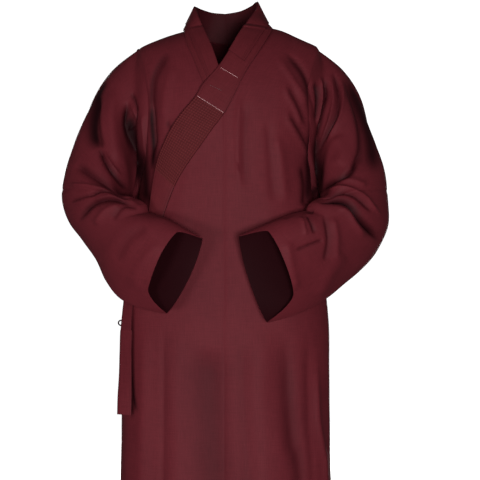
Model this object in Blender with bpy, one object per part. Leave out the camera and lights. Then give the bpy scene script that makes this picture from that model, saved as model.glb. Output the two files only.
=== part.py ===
"""Buddhist monk robe, worn: a long cross-over robe with wide sleeves, collar bands and a side tie.

Metres, +Z up. The robe's front faces -Y and the wearer's left is +X. The origin is where the
shoulders hold the robe up: the middle of the neck hole, level with the foot of the collar.
Every piece is one layer of cloth, a wall whose outer points are worked out from short tables
of sections and folds and whose inner points lie one cloth thickness below them.
"""
import math

import bpy
import numpy as np

# Driving dimensions, in metres.
CLOTH = 0.0020            # thickness of one layer as sewn
BAND = 0.0030             # collar bands: folded cloth with its stitching
SEAM_GAP = 0.0003         # pieces stay this far apart at seams
UNDERLAP = 0.010          # how far a panel runs on below the band sewn over its edge
NECK_UNDERLAP = 0.003     # and beside the neck, where the band stands up
NECK_STAND = 0.0020       # how far the bands' lower edge stands off the backs and shoulders
INNER_BAND_LIFT = 0.0047  # the inner band's face above the inner front
OUTER_LIFT = 0.0098       # outer front above the inner front that it wraps over
SKIRT_LIFT = 0.0090       # how much further it stands off in the skirt
SIDE_LIFT_SHARE = 0.40    # share of this lift that is left at the wearer's right side
OUTER_BAND_LIFT = OUTER_LIFT + SEAM_GAP + BAND + 0.0008
ROUNDNESS = 2.6           # superellipse power of the body's sections
ARMPIT_LEVEL = 8.3        # level of the body table at which the armholes end
ARMHOLE_GAP = 0.0024      # the sleeve's first points stay this far off the panels' edge
ARMHOLE_END_GAP = 0.0030  # and further at the shoulder and armpit, where the walls turn
NECK_BACK_LEVEL = 3.1     # level of the neckline at the centre back
NECK_SIDE = 23.0          # half angle of the neck hole on the shoulder line, in degrees
HEM_LEVEL = 14.0
SLEEVE_COLUMNS = 24       # points round a sleeve
SKIRT_ROWS = 13           # rows of points from the armpit to the hem
OVERLAP_SIDE = -84.0      # angle at which the outer front ends, on the wearer's right side
INNER_SIDE = 62.0         # angle at which the inner front ends, below the outer one
QUILT_HEIGHT = 0.0011     # how far the quilted squares stand up

# Levels of the body from the shoulder line down to the hem. Each level is a closed curve
# whose height falls towards the shoulders by the side drop.
# Columns: centre height, side drop, centre across, half width, front depth, back depth
BODY_LEVELS = (
    (0.012, 0.049, 0.006, 0.190, 0.0002, 0.0002),
    (0.010, 0.049, 0.006, 0.191, 0.014, 0.018),
    (0.004, 0.048, 0.006, 0.193, 0.034, 0.044),
    (-0.014, 0.045, 0.005, 0.195, 0.060, 0.073),
    (-0.045, 0.038, 0.005, 0.194, 0.084, 0.099),
    (-0.085, 0.030, 0.004, 0.190, 0.103, 0.116),
    (-0.135, 0.018, 0.004, 0.184, 0.117, 0.126),
    (-0.200, 0.008, 0.003, 0.178, 0.125, 0.127),
    (-0.290, 0.002, 0.002, 0.174, 0.128, 0.119),
    (-0.400, 0.0, 0.001, 0.176, 0.130, 0.110),
    (-0.500, 0.0, 0.0, 0.190, 0.132, 0.113),
    (-0.620, 0.0, 0.002, 0.2090, 0.130, 0.124),
    (-0.800, 0.0, 0.002, 0.2105, 0.132, 0.132),
    (-1.030, 0.0, 0.002, 0.2150, 0.137, 0.140),
    (-1.270, 0.0, 0.002, 0.2250, 0.144, 0.148),
)

# How far the armholes cut in from the sides, in degrees of section, at even steps from the
# shoulder line down to the armpit. Columns: into the front, into the back
ARMHOLE_CUTS = (
    (14.0, 14.0), (16.0, 15.5), (20.0, 19.0), (26.0, 24.0), (31.0, 27.5), (33.0, 28.5), (30.5, 26.0),
    (22.0, 19.0), (0.0, 0.0),
)

# Line on the front along which the outer collar band's lower edge is sewn.
# Columns: across, height
OUTER_SEAM = (
    (0.0985, 0.004), (0.0980, -0.012), (0.0737, -0.0487), (0.0446, -0.0926), (0.0262, -0.1285),
    (0.0100, -0.1630), (0.0000, -0.1795), (-0.0200, -0.2057), (-0.0423, -0.2380),
    (-0.0665, -0.2722), (-0.0907, -0.3125), (-0.1128, -0.3648), (-0.1310, -0.4430),
)

# The same line of the inner band, on the wearer's right front.
INNER_SEAM = (
    (-0.0880, 0.006), (-0.0850, -0.010), (-0.0780, -0.0320), (-0.0700, -0.0500),
    (-0.0446, -0.1130), (-0.0150, -0.1750), (0.0200, -0.2350), (0.0600, -0.3000),
    (0.0950, -0.3700), (0.1150, -0.4400),
)

# The sleeves' rings, from just past the armhole to the cuff, for the wearer's right arm. The
# chord of a ring runs from its outer end (shoulder, elbow, then lower edge) to its inner end
# (armpit, crook of the elbow, then upper edge). Columns: outer end x, y, z, inner end x, y, z,
# front bulge, back bulge, and where along the chord the arm fills the ring
RIGHT_RINGS = (
    (-0.232, 0.008, -0.078, -0.199, -0.004, -0.308, 0.056, 0.062, 0.44),
    (-0.276, 0.013, -0.140, -0.201, -0.038, -0.308, 0.065, 0.070, 0.42),
    (-0.312, 0.018, -0.224, -0.193, -0.078, -0.328, 0.066, 0.070, 0.42),
    (-0.333, 0.018, -0.308, -0.178, -0.112, -0.356, 0.062, 0.064, 0.44),
    (-0.341, 0.010, -0.354, -0.165, -0.131, -0.367, 0.058, 0.058, 0.46),
    (-0.325, -0.005, -0.400, -0.158, -0.139, -0.374, 0.056, 0.052, 0.50),
    (-0.294, -0.025, -0.433, -0.153, -0.146, -0.377, 0.053, 0.045, 0.56),
    (-0.263, -0.050, -0.474, -0.145, -0.153, -0.380, 0.050, 0.040, 0.60),
    (-0.242, -0.080, -0.517, -0.133, -0.162, -0.384, 0.047, 0.036, 0.64),
    (-0.210, -0.115, -0.552, -0.110, -0.175, -0.392, 0.042, 0.033, 0.66),
    (-0.161, -0.155, -0.571, -0.077, -0.192, -0.410, 0.036, 0.030, 0.66),
    (-0.114, -0.190, -0.579, -0.043, -0.207, -0.429, 0.028, 0.026, 0.60),
)
LEFT_RINGS = (
    (0.244, 0.008, -0.078, 0.203, -0.004, -0.308, 0.056, 0.062, 0.44),
    (0.285, 0.013, -0.140, 0.206, -0.036, -0.306, 0.065, 0.070, 0.42),
    (0.314, 0.018, -0.224, 0.199, -0.078, -0.326, 0.066, 0.070, 0.42),
    (0.329, 0.018, -0.303, 0.187, -0.112, -0.354, 0.062, 0.064, 0.44),
    (0.338, 0.010, -0.366, 0.177, -0.131, -0.368, 0.058, 0.058, 0.46),
    (0.335, -0.005, -0.417, 0.170, -0.139, -0.372, 0.056, 0.052, 0.50),
    (0.312, -0.025, -0.458, 0.164, -0.146, -0.374, 0.053, 0.045, 0.56),
    (0.279, -0.050, -0.495, 0.154, -0.153, -0.376, 0.050, 0.040, 0.60),
    (0.244, -0.080, -0.523, 0.139, -0.162, -0.380, 0.047, 0.036, 0.64),
    (0.202, -0.115, -0.554, 0.111, -0.175, -0.390, 0.042, 0.033, 0.66),
    (0.146, -0.155, -0.581, 0.073, -0.192, -0.406, 0.036, 0.030, 0.66),
    (0.085, -0.190, -0.597, 0.029, -0.207, -0.425, 0.028, 0.026, 0.60),
)
BACK_PINCH = 0.45         # how much flatter the sleeves' back is towards the inner end
JOIN_RING = 4.6           # ring at which the sleeve extension is joined on
JOIN_GAP = 0.010          # half the seam's gap there, in rings
CUFF_SLANT = 1.0          # how far, in rings, the cuff's front edge is drawn back
BODY_CLEARANCE = 0.013    # the sleeves stay this far off the body's outer face

# Upper edges of the bands, round the neck. Columns: across, depth, height
OUTER_NECK_EDGE = (
    (0.0000, 0.080, 0.048), (0.0330, 0.071, 0.053), (0.0580, 0.048, 0.062), (0.0670, 0.022, 0.066),
    (0.0665, 0.006, 0.052), (0.0585, -0.010, 0.036), (0.0450, -0.034, 0.015), (0.0275, -0.062, -0.013),
    (0.0115, -0.084, -0.043), (-0.0120, -0.104, -0.081), (-0.0430, -0.122, -0.118),
    (-0.0585, -0.128, -0.144), (-0.0890, -0.131, -0.180), (-0.1085, -0.129, -0.209),
    (-0.1245, -0.124, -0.241), (-0.1360, -0.118, -0.270), (-0.1440, -0.110, -0.304),
    (-0.1500, -0.100, -0.344), (-0.1570, -0.090, -0.404),
)
# Matching points of the lower edge. The first ones go round the neck on the body's surface,
# by their place across and in depth, the others lie on OUTER_SEAM at their height.
OUTER_LOWER_NECK = ((0.0, 0.083), (0.046, 0.074), (0.082, 0.050), (0.0985, 0.022), (0.1015, 0.003))
OUTER_LOWER_HEIGHTS = (
    -0.012, -0.034, -0.058, -0.082, -0.108, -0.155, -0.1795, -0.212, -0.2440, -0.2780, -0.3090,
    -0.3400, -0.3790, -0.4300,
)
INNER_NECK_EDGE = (
    (0.0000, 0.080, 0.048), (-0.0300, 0.071, 0.050), (-0.0540, 0.048, 0.055), (-0.0630, 0.022, 0.056),
    (-0.0610, 0.004, 0.048), (-0.0540, -0.022, 0.028), (-0.0410, -0.050, -0.004),
    (-0.0280, -0.072, -0.034), (-0.0180, -0.089, -0.062), (-0.0100, -0.100, -0.085),
    (0.0100, -0.112, -0.126), (0.0420, -0.120, -0.180), (0.0800, -0.122, -0.240),
    (0.1150, -0.117, -0.310), (0.1350, -0.110, -0.400),
)
INNER_LOWER_NECK = ((0.0, 0.083), (-0.044, 0.074), (-0.076, 0.050), (-0.089, 0.022), (-0.0905, 0.003))
INNER_LOWER_HEIGHTS = (-0.010, -0.034, -0.058, -0.082, -0.108, -0.152, -0.210, -0.270, -0.345, -0.430)
QUILT_START = 11.0        # row of the outer band at which the quilted stretch is joined on
QUILT_END = 15.6          # row at which it ends
QUILT_ROWS = 14           # squares along it
QUILT_COLUMNS = 7         # and across it
BAND_JOIN = 0.008         # half the gap of a join along the band, in rows
GUARD = 0.0015            # thickness of the guard over the collar
GUARD_SHARE = 0.75        # how much of the band's width it covers
GUARD_LEFT = 8.15         # row of the outer band at which it ends
GUARD_RIGHT = 9.3         # row of the inner band at which it ends, below the outer one

# Largest folds of the front, placed as seen from the front. Columns: points of the fold's
# line (across, height), half width on its two sides, height (a trough is negative)
FRONT_FOLDS = (
    (((0.044, -0.091), (0.030, -0.158), (0.030, -0.240)), 0.010, 0.010, 0.0050),
    (((0.058, -0.110), (0.050, -0.190), (0.046, -0.320)), 0.014, 0.014, -0.0040),
    (((0.104, -0.055), (0.136, -0.108), (0.158, -0.165)), 0.012, 0.014, 0.0060),
    (((0.088, -0.040), (0.122, -0.135), (0.144, -0.205)), 0.012, 0.012, -0.0045),
    (((-0.110, -0.060), (-0.146, -0.130), (-0.146, -0.200), (-0.148, -0.300)), 0.012, 0.016, -0.0070),
    (((-0.056, -0.590), (-0.052, -0.760), (-0.044, -0.930), (-0.040, -1.270)), 0.022, 0.030, -0.0110),
    (((0.062, -0.640), (0.066, -0.760), (0.070, -0.940), (0.078, -1.270)), 0.026, 0.030, 0.0080),
    (((0.128, -0.720), (0.130, -0.840), (0.136, -0.960), (0.140, -1.270)), 0.018, 0.022, -0.0100),
    (((0.168, -0.640), (0.176, -0.800), (0.182, -1.000), (0.188, -1.270)), 0.014, 0.018, 0.0070),
    (((-0.120, -0.600), (-0.126, -0.800), (-0.132, -1.270)), 0.020, 0.024, 0.0060),
    (((-0.170, -0.600), (-0.172, -0.800), (-0.178, -1.270)), 0.016, 0.020, 0.0060),
)
# Largest folds of the back, placed as seen from behind the same way.
BACK_FOLDS = (
    (((0.130, -0.075), (0.142, -0.150), (0.128, -0.300)), 0.014, 0.018, -0.0070),
    (((-0.132, -0.080), (-0.140, -0.160), (-0.122, -0.310)), 0.016, 0.014, -0.0070),
    (((0.060, -0.200), (0.070, -0.450), (0.090, -0.800), (0.104, -1.270)), 0.026, 0.032, 0.0090),
    (((0.020, -0.420), (0.034, -0.700), (0.046, -1.270)), 0.022, 0.024, -0.0080),
    (((-0.050, -0.300), (-0.066, -0.560), (-0.076, -0.900), (-0.080, -1.270)), 0.030, 0.024, 0.0090),
    (((-0.110, -0.420), (-0.124, -0.700), (-0.136, -1.270)), 0.022, 0.024, -0.0090),
    (((0.150, -0.520), (0.152, -0.800), (0.160, -1.270)), 0.018, 0.022, -0.0080),
    (((-0.168, -0.560), (-0.176, -0.800), (-0.184, -1.270)), 0.018, 0.018, 0.0070),
)
# Largest folds of the sleeves' front halves.
RIGHT_SLEEVE_FOLDS = (
    (((-0.258, -0.130), (-0.272, -0.170), (-0.262, -0.240), (-0.224, -0.300), (-0.184, -0.340)),
     0.014, 0.018, -0.0080),
    (((-0.196, -0.150), (-0.192, -0.205), (-0.178, -0.262), (-0.168, -0.320)), 0.014, 0.018, -0.0130),
    (((-0.300, -0.280), (-0.262, -0.310), (-0.212, -0.326), (-0.184, -0.344)), 0.010, 0.014, -0.0080),
    (((-0.290, -0.402), (-0.270, -0.376), (-0.236, -0.352), (-0.196, -0.356)), 0.012, 0.014, -0.0070),
)
LEFT_SLEEVE_FOLDS = (
    (((0.205, -0.068), (0.206, -0.140), (0.186, -0.232)), 0.014, 0.016, -0.0090),
    (((0.238, -0.088), (0.236, -0.140), (0.216, -0.204), (0.182, -0.262)), 0.014, 0.016, -0.0080),
    (((0.282, -0.276), (0.224, -0.306), (0.190, -0.326)), 0.011, 0.014, -0.0080),
    (((0.188, -0.352), (0.232, -0.354), (0.274, -0.380), (0.322, -0.428)), 0.012, 0.014, -0.0100),
    (((0.106, -0.402), (0.106, -0.470), (0.118, -0.560)), 0.016, 0.018, -0.0060),
)
# And of their back halves.
RIGHT_SLEEVE_BACK_FOLDS = (
    (((-0.220, -0.110), (-0.215, -0.190), (-0.205, -0.280)), 0.016, 0.018, -0.0080),
    (((-0.300, -0.220), (-0.280, -0.300), (-0.240, -0.350)), 0.014, 0.016, -0.0070),
    (((-0.320, -0.370), (-0.270, -0.400), (-0.220, -0.400)), 0.014, 0.016, -0.0070),
)
LEFT_SLEEVE_BACK_FOLDS = (
    (((0.225, -0.110), (0.222, -0.190), (0.210, -0.280)), 0.018, 0.016, -0.0080),
    (((0.296, -0.210), (0.276, -0.290), (0.244, -0.340)), 0.014, 0.016, -0.0070),
    (((0.322, -0.380), (0.275, -0.415), (0.220, -0.410)), 0.014, 0.016, -0.0070),
)

# The flat tie that hangs at the wearer's right side, from its sewn end down.
# Columns: middle of the tie x, y, z, and how far its inner edge is turned to the front
TIE_COURSE = (
    (-0.1920, -0.0800, -0.500, 52.0), (-0.2040, -0.0850, -0.560, 48.0), (-0.2100, -0.0950, -0.620, 38.0),
    (-0.2100, -0.1040, -0.700, 32.0), (-0.2105, -0.1080, -0.786, 28.0),
)
TIE_WIDTH = 0.034
TIE_THICKNESS = 0.0024
LOOP_PLACE = (-0.2225, -0.020, -0.605)   # centre of the small loop beside it
LOOP_RADIUS = 0.0052
LOOP_CORD = 0.0015        # radius of the loop's cord
LOOP_STEPS = 14
LOOP_SIDES = 6

# Colours, linear light.
MAROON = (0.102, 0.0144, 0.0185, 1.0)
MAROON_BAND = (0.108, 0.0150, 0.0185, 1.0)
MAROON_DARK = (0.060, 0.0090, 0.0115, 1.0)


def rows_at(table, place):
    """Rows of a table at fractional places, by a smooth curve through its rows."""
    rows = np.asarray(table, dtype=float)
    place = np.clip(np.asarray(place, dtype=float), 0.0, len(rows) - 1.0)
    first = np.minimum(place.astype(int), len(rows) - 2)
    part = (place - first)[..., None]
    before = rows[np.maximum(first - 1, 0)]
    here = rows[first]
    after = rows[first + 1]
    beyond = rows[np.minimum(first + 2, len(rows) - 1)]
    slope_here = 0.5 * (after - before)
    slope_after = 0.5 * (beyond - here)
    return ((2 * part**3 - 3 * part**2 + 1) * here + (part**3 - 2 * part**2 + part) * slope_here
            + (3 * part**2 - 2 * part**3) * after + (part**3 - part**2) * slope_after)


def smooth_step(value):
    """0 below 0, 1 above 1, and a soft rise between."""
    value = np.clip(value, 0.0, 1.0)
    return value * value * (3.0 - 2.0 * value)


def unit(vectors):
    """Vectors of length one."""
    return vectors / np.maximum(np.linalg.norm(vectors, axis=-1, keepdims=True), 1e-12)


def fold_height(across, height, folds):
    """Sum of the folds at places seen from the front: each is a bell across its line, which
    fades out towards the line's ends."""
    total = np.zeros(np.shape(across))
    for line, width_minus, width_plus, rise in folds:
        steps = np.linspace(0.0, len(line) - 1.0, 12 * (len(line) - 1) + 1)
        curve = rows_at(line, steps)
        gap_x = np.asarray(across)[..., None] - curve[:, 0]
        gap_z = np.asarray(height)[..., None] - curve[:, 1]
        distance = np.hypot(gap_x, gap_z)
        nearest = distance.argmin(axis=-1)
        place = nearest / (len(curve) - 1.0)
        side = np.take_along_axis(gap_x, nearest[..., None], axis=-1)[..., 0]
        width = np.where(side < 0.0, width_minus, width_plus)
        to_hem = curve[-1, 1] < BODY_LEVELS[-1][0] + 0.01
        fade = smooth_step(place / 0.22) * (1.0 if to_hem else smooth_step((1.0 - place) / 0.22))
        reach = np.take_along_axis(distance, nearest[..., None], axis=-1)[..., 0]
        total += rise * np.exp(-((reach / width) ** 2)) * fade
    return total


def body_base(level, angle):
    """Points of the body's surface without folds: level by level a superellipse, 0 degrees at
    the centre front, 90 at the wearer's left side, 180 at the centre back."""
    centre_z, drop, centre_x, half, front, back = np.moveaxis(rows_at(BODY_LEVELS, level), -1, 0)
    turn = np.radians(angle)
    power = 2.0 / ROUNDNESS
    sine = np.sign(np.sin(turn)) * np.abs(np.sin(turn)) ** power
    cosine = np.sign(np.cos(turn)) * np.abs(np.cos(turn)) ** power
    depth = np.where(cosine > 0.0, front, back)
    return np.stack((centre_x + half * sine, -depth * cosine, centre_z - drop * sine**2), axis=-1)


def surface_normals(function, first, second, step_first, step_second):
    """Unit normals of a surface given as a function of two parameters, facing outward where
    the first parameter runs down and the second runs round to the wearer's left."""
    along_first = function(first + step_first, second) - function(first - step_first, second)
    along_second = function(first, second + step_second) - function(first, second - step_second)
    return unit(np.cross(along_first, along_second))


def beside_bands(across, height):
    """1 beside the collar bands and 0 below them, where the doubled cloth lies smooth."""
    outer = np.asarray(OUTER_SEAM)
    inner = np.asarray(INNER_SEAM)
    past_outer = across - np.interp(-height, -outer[:, 1], outer[:, 0])
    past_inner = np.interp(-height, -inner[:, 1], inner[:, 0]) - across
    outside_outer = smooth_step((past_outer - 0.002) / 0.030)
    outside_inner = smooth_step((past_inner - 0.002) / 0.030)
    neck_side = smooth_step((-0.085 - past_outer) / 0.02)
    below = smooth_step((-0.44 - height) / 0.05)
    return np.maximum(np.maximum(outside_outer, outside_inner * neck_side), below)


def body_surface(level, angle, lift):
    """The body's surface with its folds, moved out by a lift."""
    level, angle, lift = np.broadcast_arrays(np.asarray(level, dtype=float), angle, lift)
    points = body_base(level, angle)
    inside = np.clip(level, 0.06, HEM_LEVEL - 0.06)
    away = np.where(np.abs(np.cos(np.radians(angle))) < 0.02, angle + 1.0, angle)
    normals = surface_normals(body_base, inside, away, 0.05, 0.4)
    facing_front = np.cos(np.radians(angle)) > 0.0
    folds = np.where(facing_front, fold_height(points[..., 0], points[..., 2], FRONT_FOLDS),
                     fold_height(points[..., 0], points[..., 2], BACK_FOLDS))
    side_fade = smooth_step(np.abs(np.cos(np.radians(angle))) / 0.22)
    shoulder_fade = smooth_step(level / 1.6)
    band_fade = np.where(facing_front, beside_bands(points[..., 0], points[..., 2]), 1.0)
    hidden = facing_front & (lift < 0.5 * OUTER_LIFT) & (angle > -88.0) & (angle < 88.0)
    band_fade = np.where(hidden, band_fade * (1.0 - smooth_step((level - 8.6) / 0.8)), band_fade)
    folds = folds * side_fade * shoulder_fade * band_fade
    return points + normals * (lift + folds)[..., None]


def level_at(across, height):
    """Level of the front's surface at a place seen from the front."""
    levels = np.linspace(0.0, HEM_LEVEL, 600)
    centre_z, drop, centre_x, half, _, _ = np.moveaxis(rows_at(BODY_LEVELS, levels), -1, 0)
    found = []
    for x, z in zip(np.ravel(across), np.ravel(height)):
        heights = centre_z - drop * np.minimum(np.abs((x - centre_x) / half), 1.0) ** 2
        found.append(np.interp(-z, -heights, levels))
    return np.reshape(found, np.shape(across))


def angle_at(level, across):
    """Angle on the front of a level at a place across."""
    _, _, centre_x, half, _, _ = np.moveaxis(rows_at(BODY_LEVELS, level), -1, 0)
    ratio = np.clip((across - centre_x) / half, -1.0, 1.0)
    return np.degrees(np.arcsin(np.sign(ratio) * np.abs(ratio) ** (ROUNDNESS / 2.0)))


def level_in_plan(across, depth):
    """Level of the body's surface at a place seen from above, near the neck."""
    levels = np.linspace(0.0, 6.0, 400)
    _, _, centre_x, half, front, back = np.moveaxis(rows_at(BODY_LEVELS, levels), -1, 0)
    shape = (1.0 - np.minimum(np.abs((across - centre_x) / half), 1.0) ** ROUNDNESS) ** (1 / ROUNDNESS)
    reach = (back if depth > 0.0 else front) * shape
    return float(np.interp(abs(depth), reach, levels))


def seam_angle(level, seam, side):
    """Angle at which each level crosses a collar seam, moved across to the panel's edge that
    runs on below the band: to the given side, -1 towards the wearer's right or 1."""
    seam = np.asarray(seam)
    angles = np.linspace(-90.0, 90.0, 721)
    found = []
    for one in np.ravel(level):
        points = body_base(np.full(angles.shape, one), angles)
        under = NECK_UNDERLAP + (UNDERLAP - NECK_UNDERLAP) * smooth_step((-0.03 - points[:, 2]) / 0.07)
        line = np.interp(-points[:, 2], -seam[:, 1], seam[:, 0]) + side * under
        found.append(np.interp(0.0, points[:, 0] - line, angles))
    return np.reshape(found, np.shape(level))


def armhole_angle(level, column):
    """How far from the side the armhole cuts into a level, in degrees of section: column 0 of
    the table is the front and column 1 the back."""
    part = np.clip(np.asarray(level, dtype=float) / ARMPIT_LEVEL, 0.0, 1.0)
    return np.maximum(rows_at(ARMHOLE_CUTS, part * (len(ARMHOLE_CUTS) - 1.0))[..., column], 0.0)


def make_material(name, colour, roughness):
    """A matt cloth material."""
    material = bpy.data.materials.new(name)
    material.use_nodes = True
    shader = material.node_tree.nodes["Principled BSDF"]
    shader.inputs["Base Color"].default_value = colour
    shader.inputs["Roughness"].default_value = roughness
    return material


def add_object(name, points, faces, material):
    """One named mesh object."""
    mesh = bpy.data.meshes.new(name)
    mesh.from_pydata([tuple(point) for point in points], [], faces)
    mesh.validate()
    mesh.materials.append(material)
    mesh.shade_smooth()
    mesh.set_sharp_from_angle(angle=math.radians(50.0))
    built = bpy.data.objects.new(name, mesh)
    bpy.context.scene.collection.objects.link(built)
    return built


def wall(name, outer, inner, closed, material):
    """A cloth wall from its outer and inner grids of points: both faces, in triangles split
    the same way so that the wall keeps its thickness, and the cut edges. A closed wall joins
    its last column to its first."""
    rows, columns = outer.shape[:2]
    count = rows * columns
    points = np.concatenate((outer.reshape(-1, 3), inner.reshape(-1, 3)))
    spans = columns if closed else columns - 1
    faces = []
    for row in range(rows - 1):
        for column in range(spans):
            beside = (column + 1) % columns
            top, below = row * columns + column, (row + 1) * columns + column
            below_beside, top_beside = (row + 1) * columns + beside, row * columns + beside
            for corners in ((top, below, below_beside), (top, below_beside, top_beside)):
                faces.append(corners)
                faces.append(tuple(count + corner for corner in reversed(corners)))
    for row, flip in ((0, False), (rows - 1, True)):
        for column in range(spans):
            start = row * columns + column
            end = row * columns + (column + 1) % columns
            edge = (start, end, count + end, count + start)
            faces.append(tuple(reversed(edge)) if flip else edge)
    if not closed:
        for column, flip in ((0, True), (columns - 1, False)):
            for row in range(rows - 1):
                start = row * columns + column
                end = (row + 1) * columns + column
                edge = (start, end, count + end, count + start)
                faces.append(tuple(reversed(edge)) if flip else edge)
    return add_object(name, points, faces, material)


def body_wall(name, level, angle, lift, material):
    """A panel of the body: a wall on the body's surface."""
    outer = body_surface(level, angle, lift)
    inner_level = np.clip(level, 0.05, HEM_LEVEL - 0.05)
    normals = surface_normals(lambda a, b: body_surface(a, b, lift), inner_level, angle, 0.05, 0.4)
    at_shoulder = np.broadcast_to((level < 0.01)[..., None], normals.shape)
    upright = normals * np.array((1.0, 0.0, 1.0))
    normals = unit(np.where(at_shoulder, upright, normals))
    inner = outer - CLOTH * normals
    if np.mean(angle[:, -1] - angle[:, 0]) < 0.0:
        outer = outer[:, ::-1]
        inner = inner[:, ::-1]
    return wall(name, outer, inner, False, material)


def panel_levels(top):
    """Levels of a panel's rows: down to the armpit at the armhole's own points, then evenly to
    the hem."""
    turn = np.linspace(0.0, math.pi, SLEEVE_COLUMNS // 2 + 1)[:, None]
    beside_armhole = top + (ARMPIT_LEVEL - top) * (1.0 - np.cos(turn)) / 2.0
    below = np.linspace(ARMPIT_LEVEL, HEM_LEVEL, SKIRT_ROWS + 1)[1:, None] + np.zeros_like(top)
    return np.concatenate((beside_armhole, below))


def small_angle(share):
    """Angle of section, in degrees, that leaves a share of the depth or half width."""
    return math.degrees(math.asin(share ** (ROUNDNESS / 2.0)))


def make_backs(material):
    """The two backs, joined at the centre-back seam, from the neckline and shoulders down."""
    beside_neck = NECK_SIDE / 90.0
    across = np.concatenate((beside_neck * np.array((0.0, 0.35, 0.65, 0.85, 1.0)),
                             beside_neck + (1.0 - beside_neck) * np.linspace(0.1, 1.0, 6)))[None, :]
    for name, sign in (("back_left", 1.0), ("back_right", -1.0)):
        spread = np.minimum(across * 90.0 / NECK_SIDE, 1.0)
        top = np.where(spread < 1.0, NECK_BACK_LEVEL * np.sqrt(1.0 - spread**2), 0.0)
        level = panel_levels(top)
        edge = 90.0 + armhole_angle(level, 1)
        centre = 180.0 - small_angle(SEAM_GAP / 0.19)
        side = edge + np.where(level < ARMPIT_LEVEL, 0.0, small_angle(SEAM_GAP / 0.12))
        angle = centre + (side - centre) * across
        body_wall(name, level, sign * angle, 0.0, material)


def front_lift(level, angle):
    """Lift of the outer front: full over the inner front, none at the shoulder and side seams."""
    full = OUTER_LIFT + SKIRT_LIFT * smooth_step((level - 9.3) / 2.0)
    right_side = SIDE_LIFT_SHARE + (1.0 - SIDE_LIFT_SHARE) * smooth_step((angle + 86.0) / 30.0)
    return full * smooth_step((89.0 - angle) / 24.0) * smooth_step(level / 1.2) * right_side


def make_front_left(material):
    """The wearer's left front, from the collar seam and centre-front seam to the side seam."""
    columns = 12
    level = panel_levels(np.zeros((1, columns)))
    collar = seam_angle(level[:, :1], OUTER_SEAM, -1.0)
    middle = angle_at(level[:, :1], np.full((len(level), 1), SEAM_GAP / 2.0))
    inner = np.where(collar > middle, collar, middle)
    edge = 90.0 - armhole_angle(level, 0)
    across = np.linspace(0.0, 1.0, columns)[None, :]
    angle = inner + (edge - inner) * across
    body_wall("front_left", level, angle, front_lift(level, angle), material)


def make_front_overlap(material):
    """The overlap that is sewn to the left front along the centre-front seam and wraps to the
    wearer's right side."""
    columns = 13
    top = float(level_at(np.array([0.0]), np.array([OUTER_SEAM[6][1] + 0.004]))[0])
    level = panel_levels(np.full((1, columns), top))
    middle = angle_at(level[:, :1], np.full((len(level), 1), -SEAM_GAP / 2.0))
    collar = seam_angle(level[:, :1], OUTER_SEAM, -1.0)
    run_out = smooth_step((level[:, :1] - 8.6) / 1.2)
    edge = np.maximum(collar, OVERLAP_SIDE) * (1.0 - run_out) + OVERLAP_SIDE * run_out
    across = np.linspace(0.0, 1.0, columns)[None, :]
    angle = edge + (middle - edge) * across
    body_wall("front_overlap", level, angle, front_lift(level, angle), material)


def make_front_right(material):
    """The wearer's right front, which runs on below the outer front towards the left side."""
    columns = 13
    level = panel_levels(np.zeros((1, columns)))
    collar = seam_angle(level[:, :1], INNER_SEAM, 1.0)
    inner = np.minimum(collar, INNER_SIDE)
    run_out = smooth_step((level[:, :1] - 8.8) / 1.0)
    inner = inner * (1.0 - run_out) + INNER_SIDE * run_out
    edge = -90.0 + armhole_angle(level, 0)
    across = np.linspace(0.0, 1.0, columns)[None, :]
    angle = edge + (inner - edge) * across
    body_wall("front_right", level, angle, 0.0, material)


def clear_of_body(points):
    """Points of a sleeve pushed off the body's outer face where they would touch it."""
    level = np.interp(-points[..., 2], [-row[0] for row in BODY_LEVELS], range(len(BODY_LEVELS)))
    _, _, centre_x, half, front, back = np.moveaxis(rows_at(BODY_LEVELS, level), -1, 0)
    half = half + BODY_CLEARANCE
    depth = np.where(points[..., 1] < 0.0, front + OUTER_LIFT, back) + BODY_CLEARANCE
    across = points[..., 0] - centre_x
    ratio = (np.abs(across / half) ** ROUNDNESS + np.abs(points[..., 1] / depth) ** ROUNDNESS)
    ratio = ratio ** (1.0 / ROUNDNESS)
    push = np.maximum(1.0 / np.maximum(ratio, 0.2), 1.0)
    moved = points.copy()
    moved[..., 0] = centre_x + across * push
    moved[..., 1] = points[..., 1] * push
    return moved


def sleeve_rings(rings, sign, turns):
    """Points of every ring of a sleeve at the given turns round it: 0 at the outer end of the
    chord, 90 at the front, 180 at the inner end. The first ring is the armhole itself."""
    turn = np.radians(turns)
    part = (1.0 - np.cos(turn)) / 2.0
    level = ARMPIT_LEVEL * part
    cut_front = armhole_angle(level, 0)
    cut_back = armhole_angle(level, 1)
    angle = np.where(np.sin(turn) > 0.0, 90.0 - cut_front, 90.0 + cut_back)
    armhole = body_surface(level, sign * angle, 0.0)
    away = unit(armhole * np.array((1.0, 0.4, 0.0)) - np.array((0.0, 0.0, 0.04)))
    gap = ARMHOLE_GAP + ARMHOLE_END_GAP * np.abs(np.cos(turn)) ** 4
    loops = [armhole + away * gap[:, None]]
    table = np.asarray(rings)
    middle = 0.5 * (table[:, 0:3] + table[:, 3:6])
    for index, row in enumerate(table):
        chord = row[3:6] - row[0:3]
        path = middle[min(index + 1, len(table) - 1)] - middle[max(index - 1, 0)]
        facing = np.cross(path, chord)
        facing = facing / np.linalg.norm(facing)
        facing = facing * (1.0 if facing[1] < 0.0 else -1.0)
        fill = math.log(0.5) / math.log(row[8])
        along = part ** (1.0 / fill)
        bulge = np.sin(turn) * np.where(np.sin(turn) > 0.0, row[6], row[7] * (1.0 - BACK_PINCH * part))
        loops.append(row[0:3] + along[:, None] * chord + bulge[:, None] * facing)
    return np.stack(loops)


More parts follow.
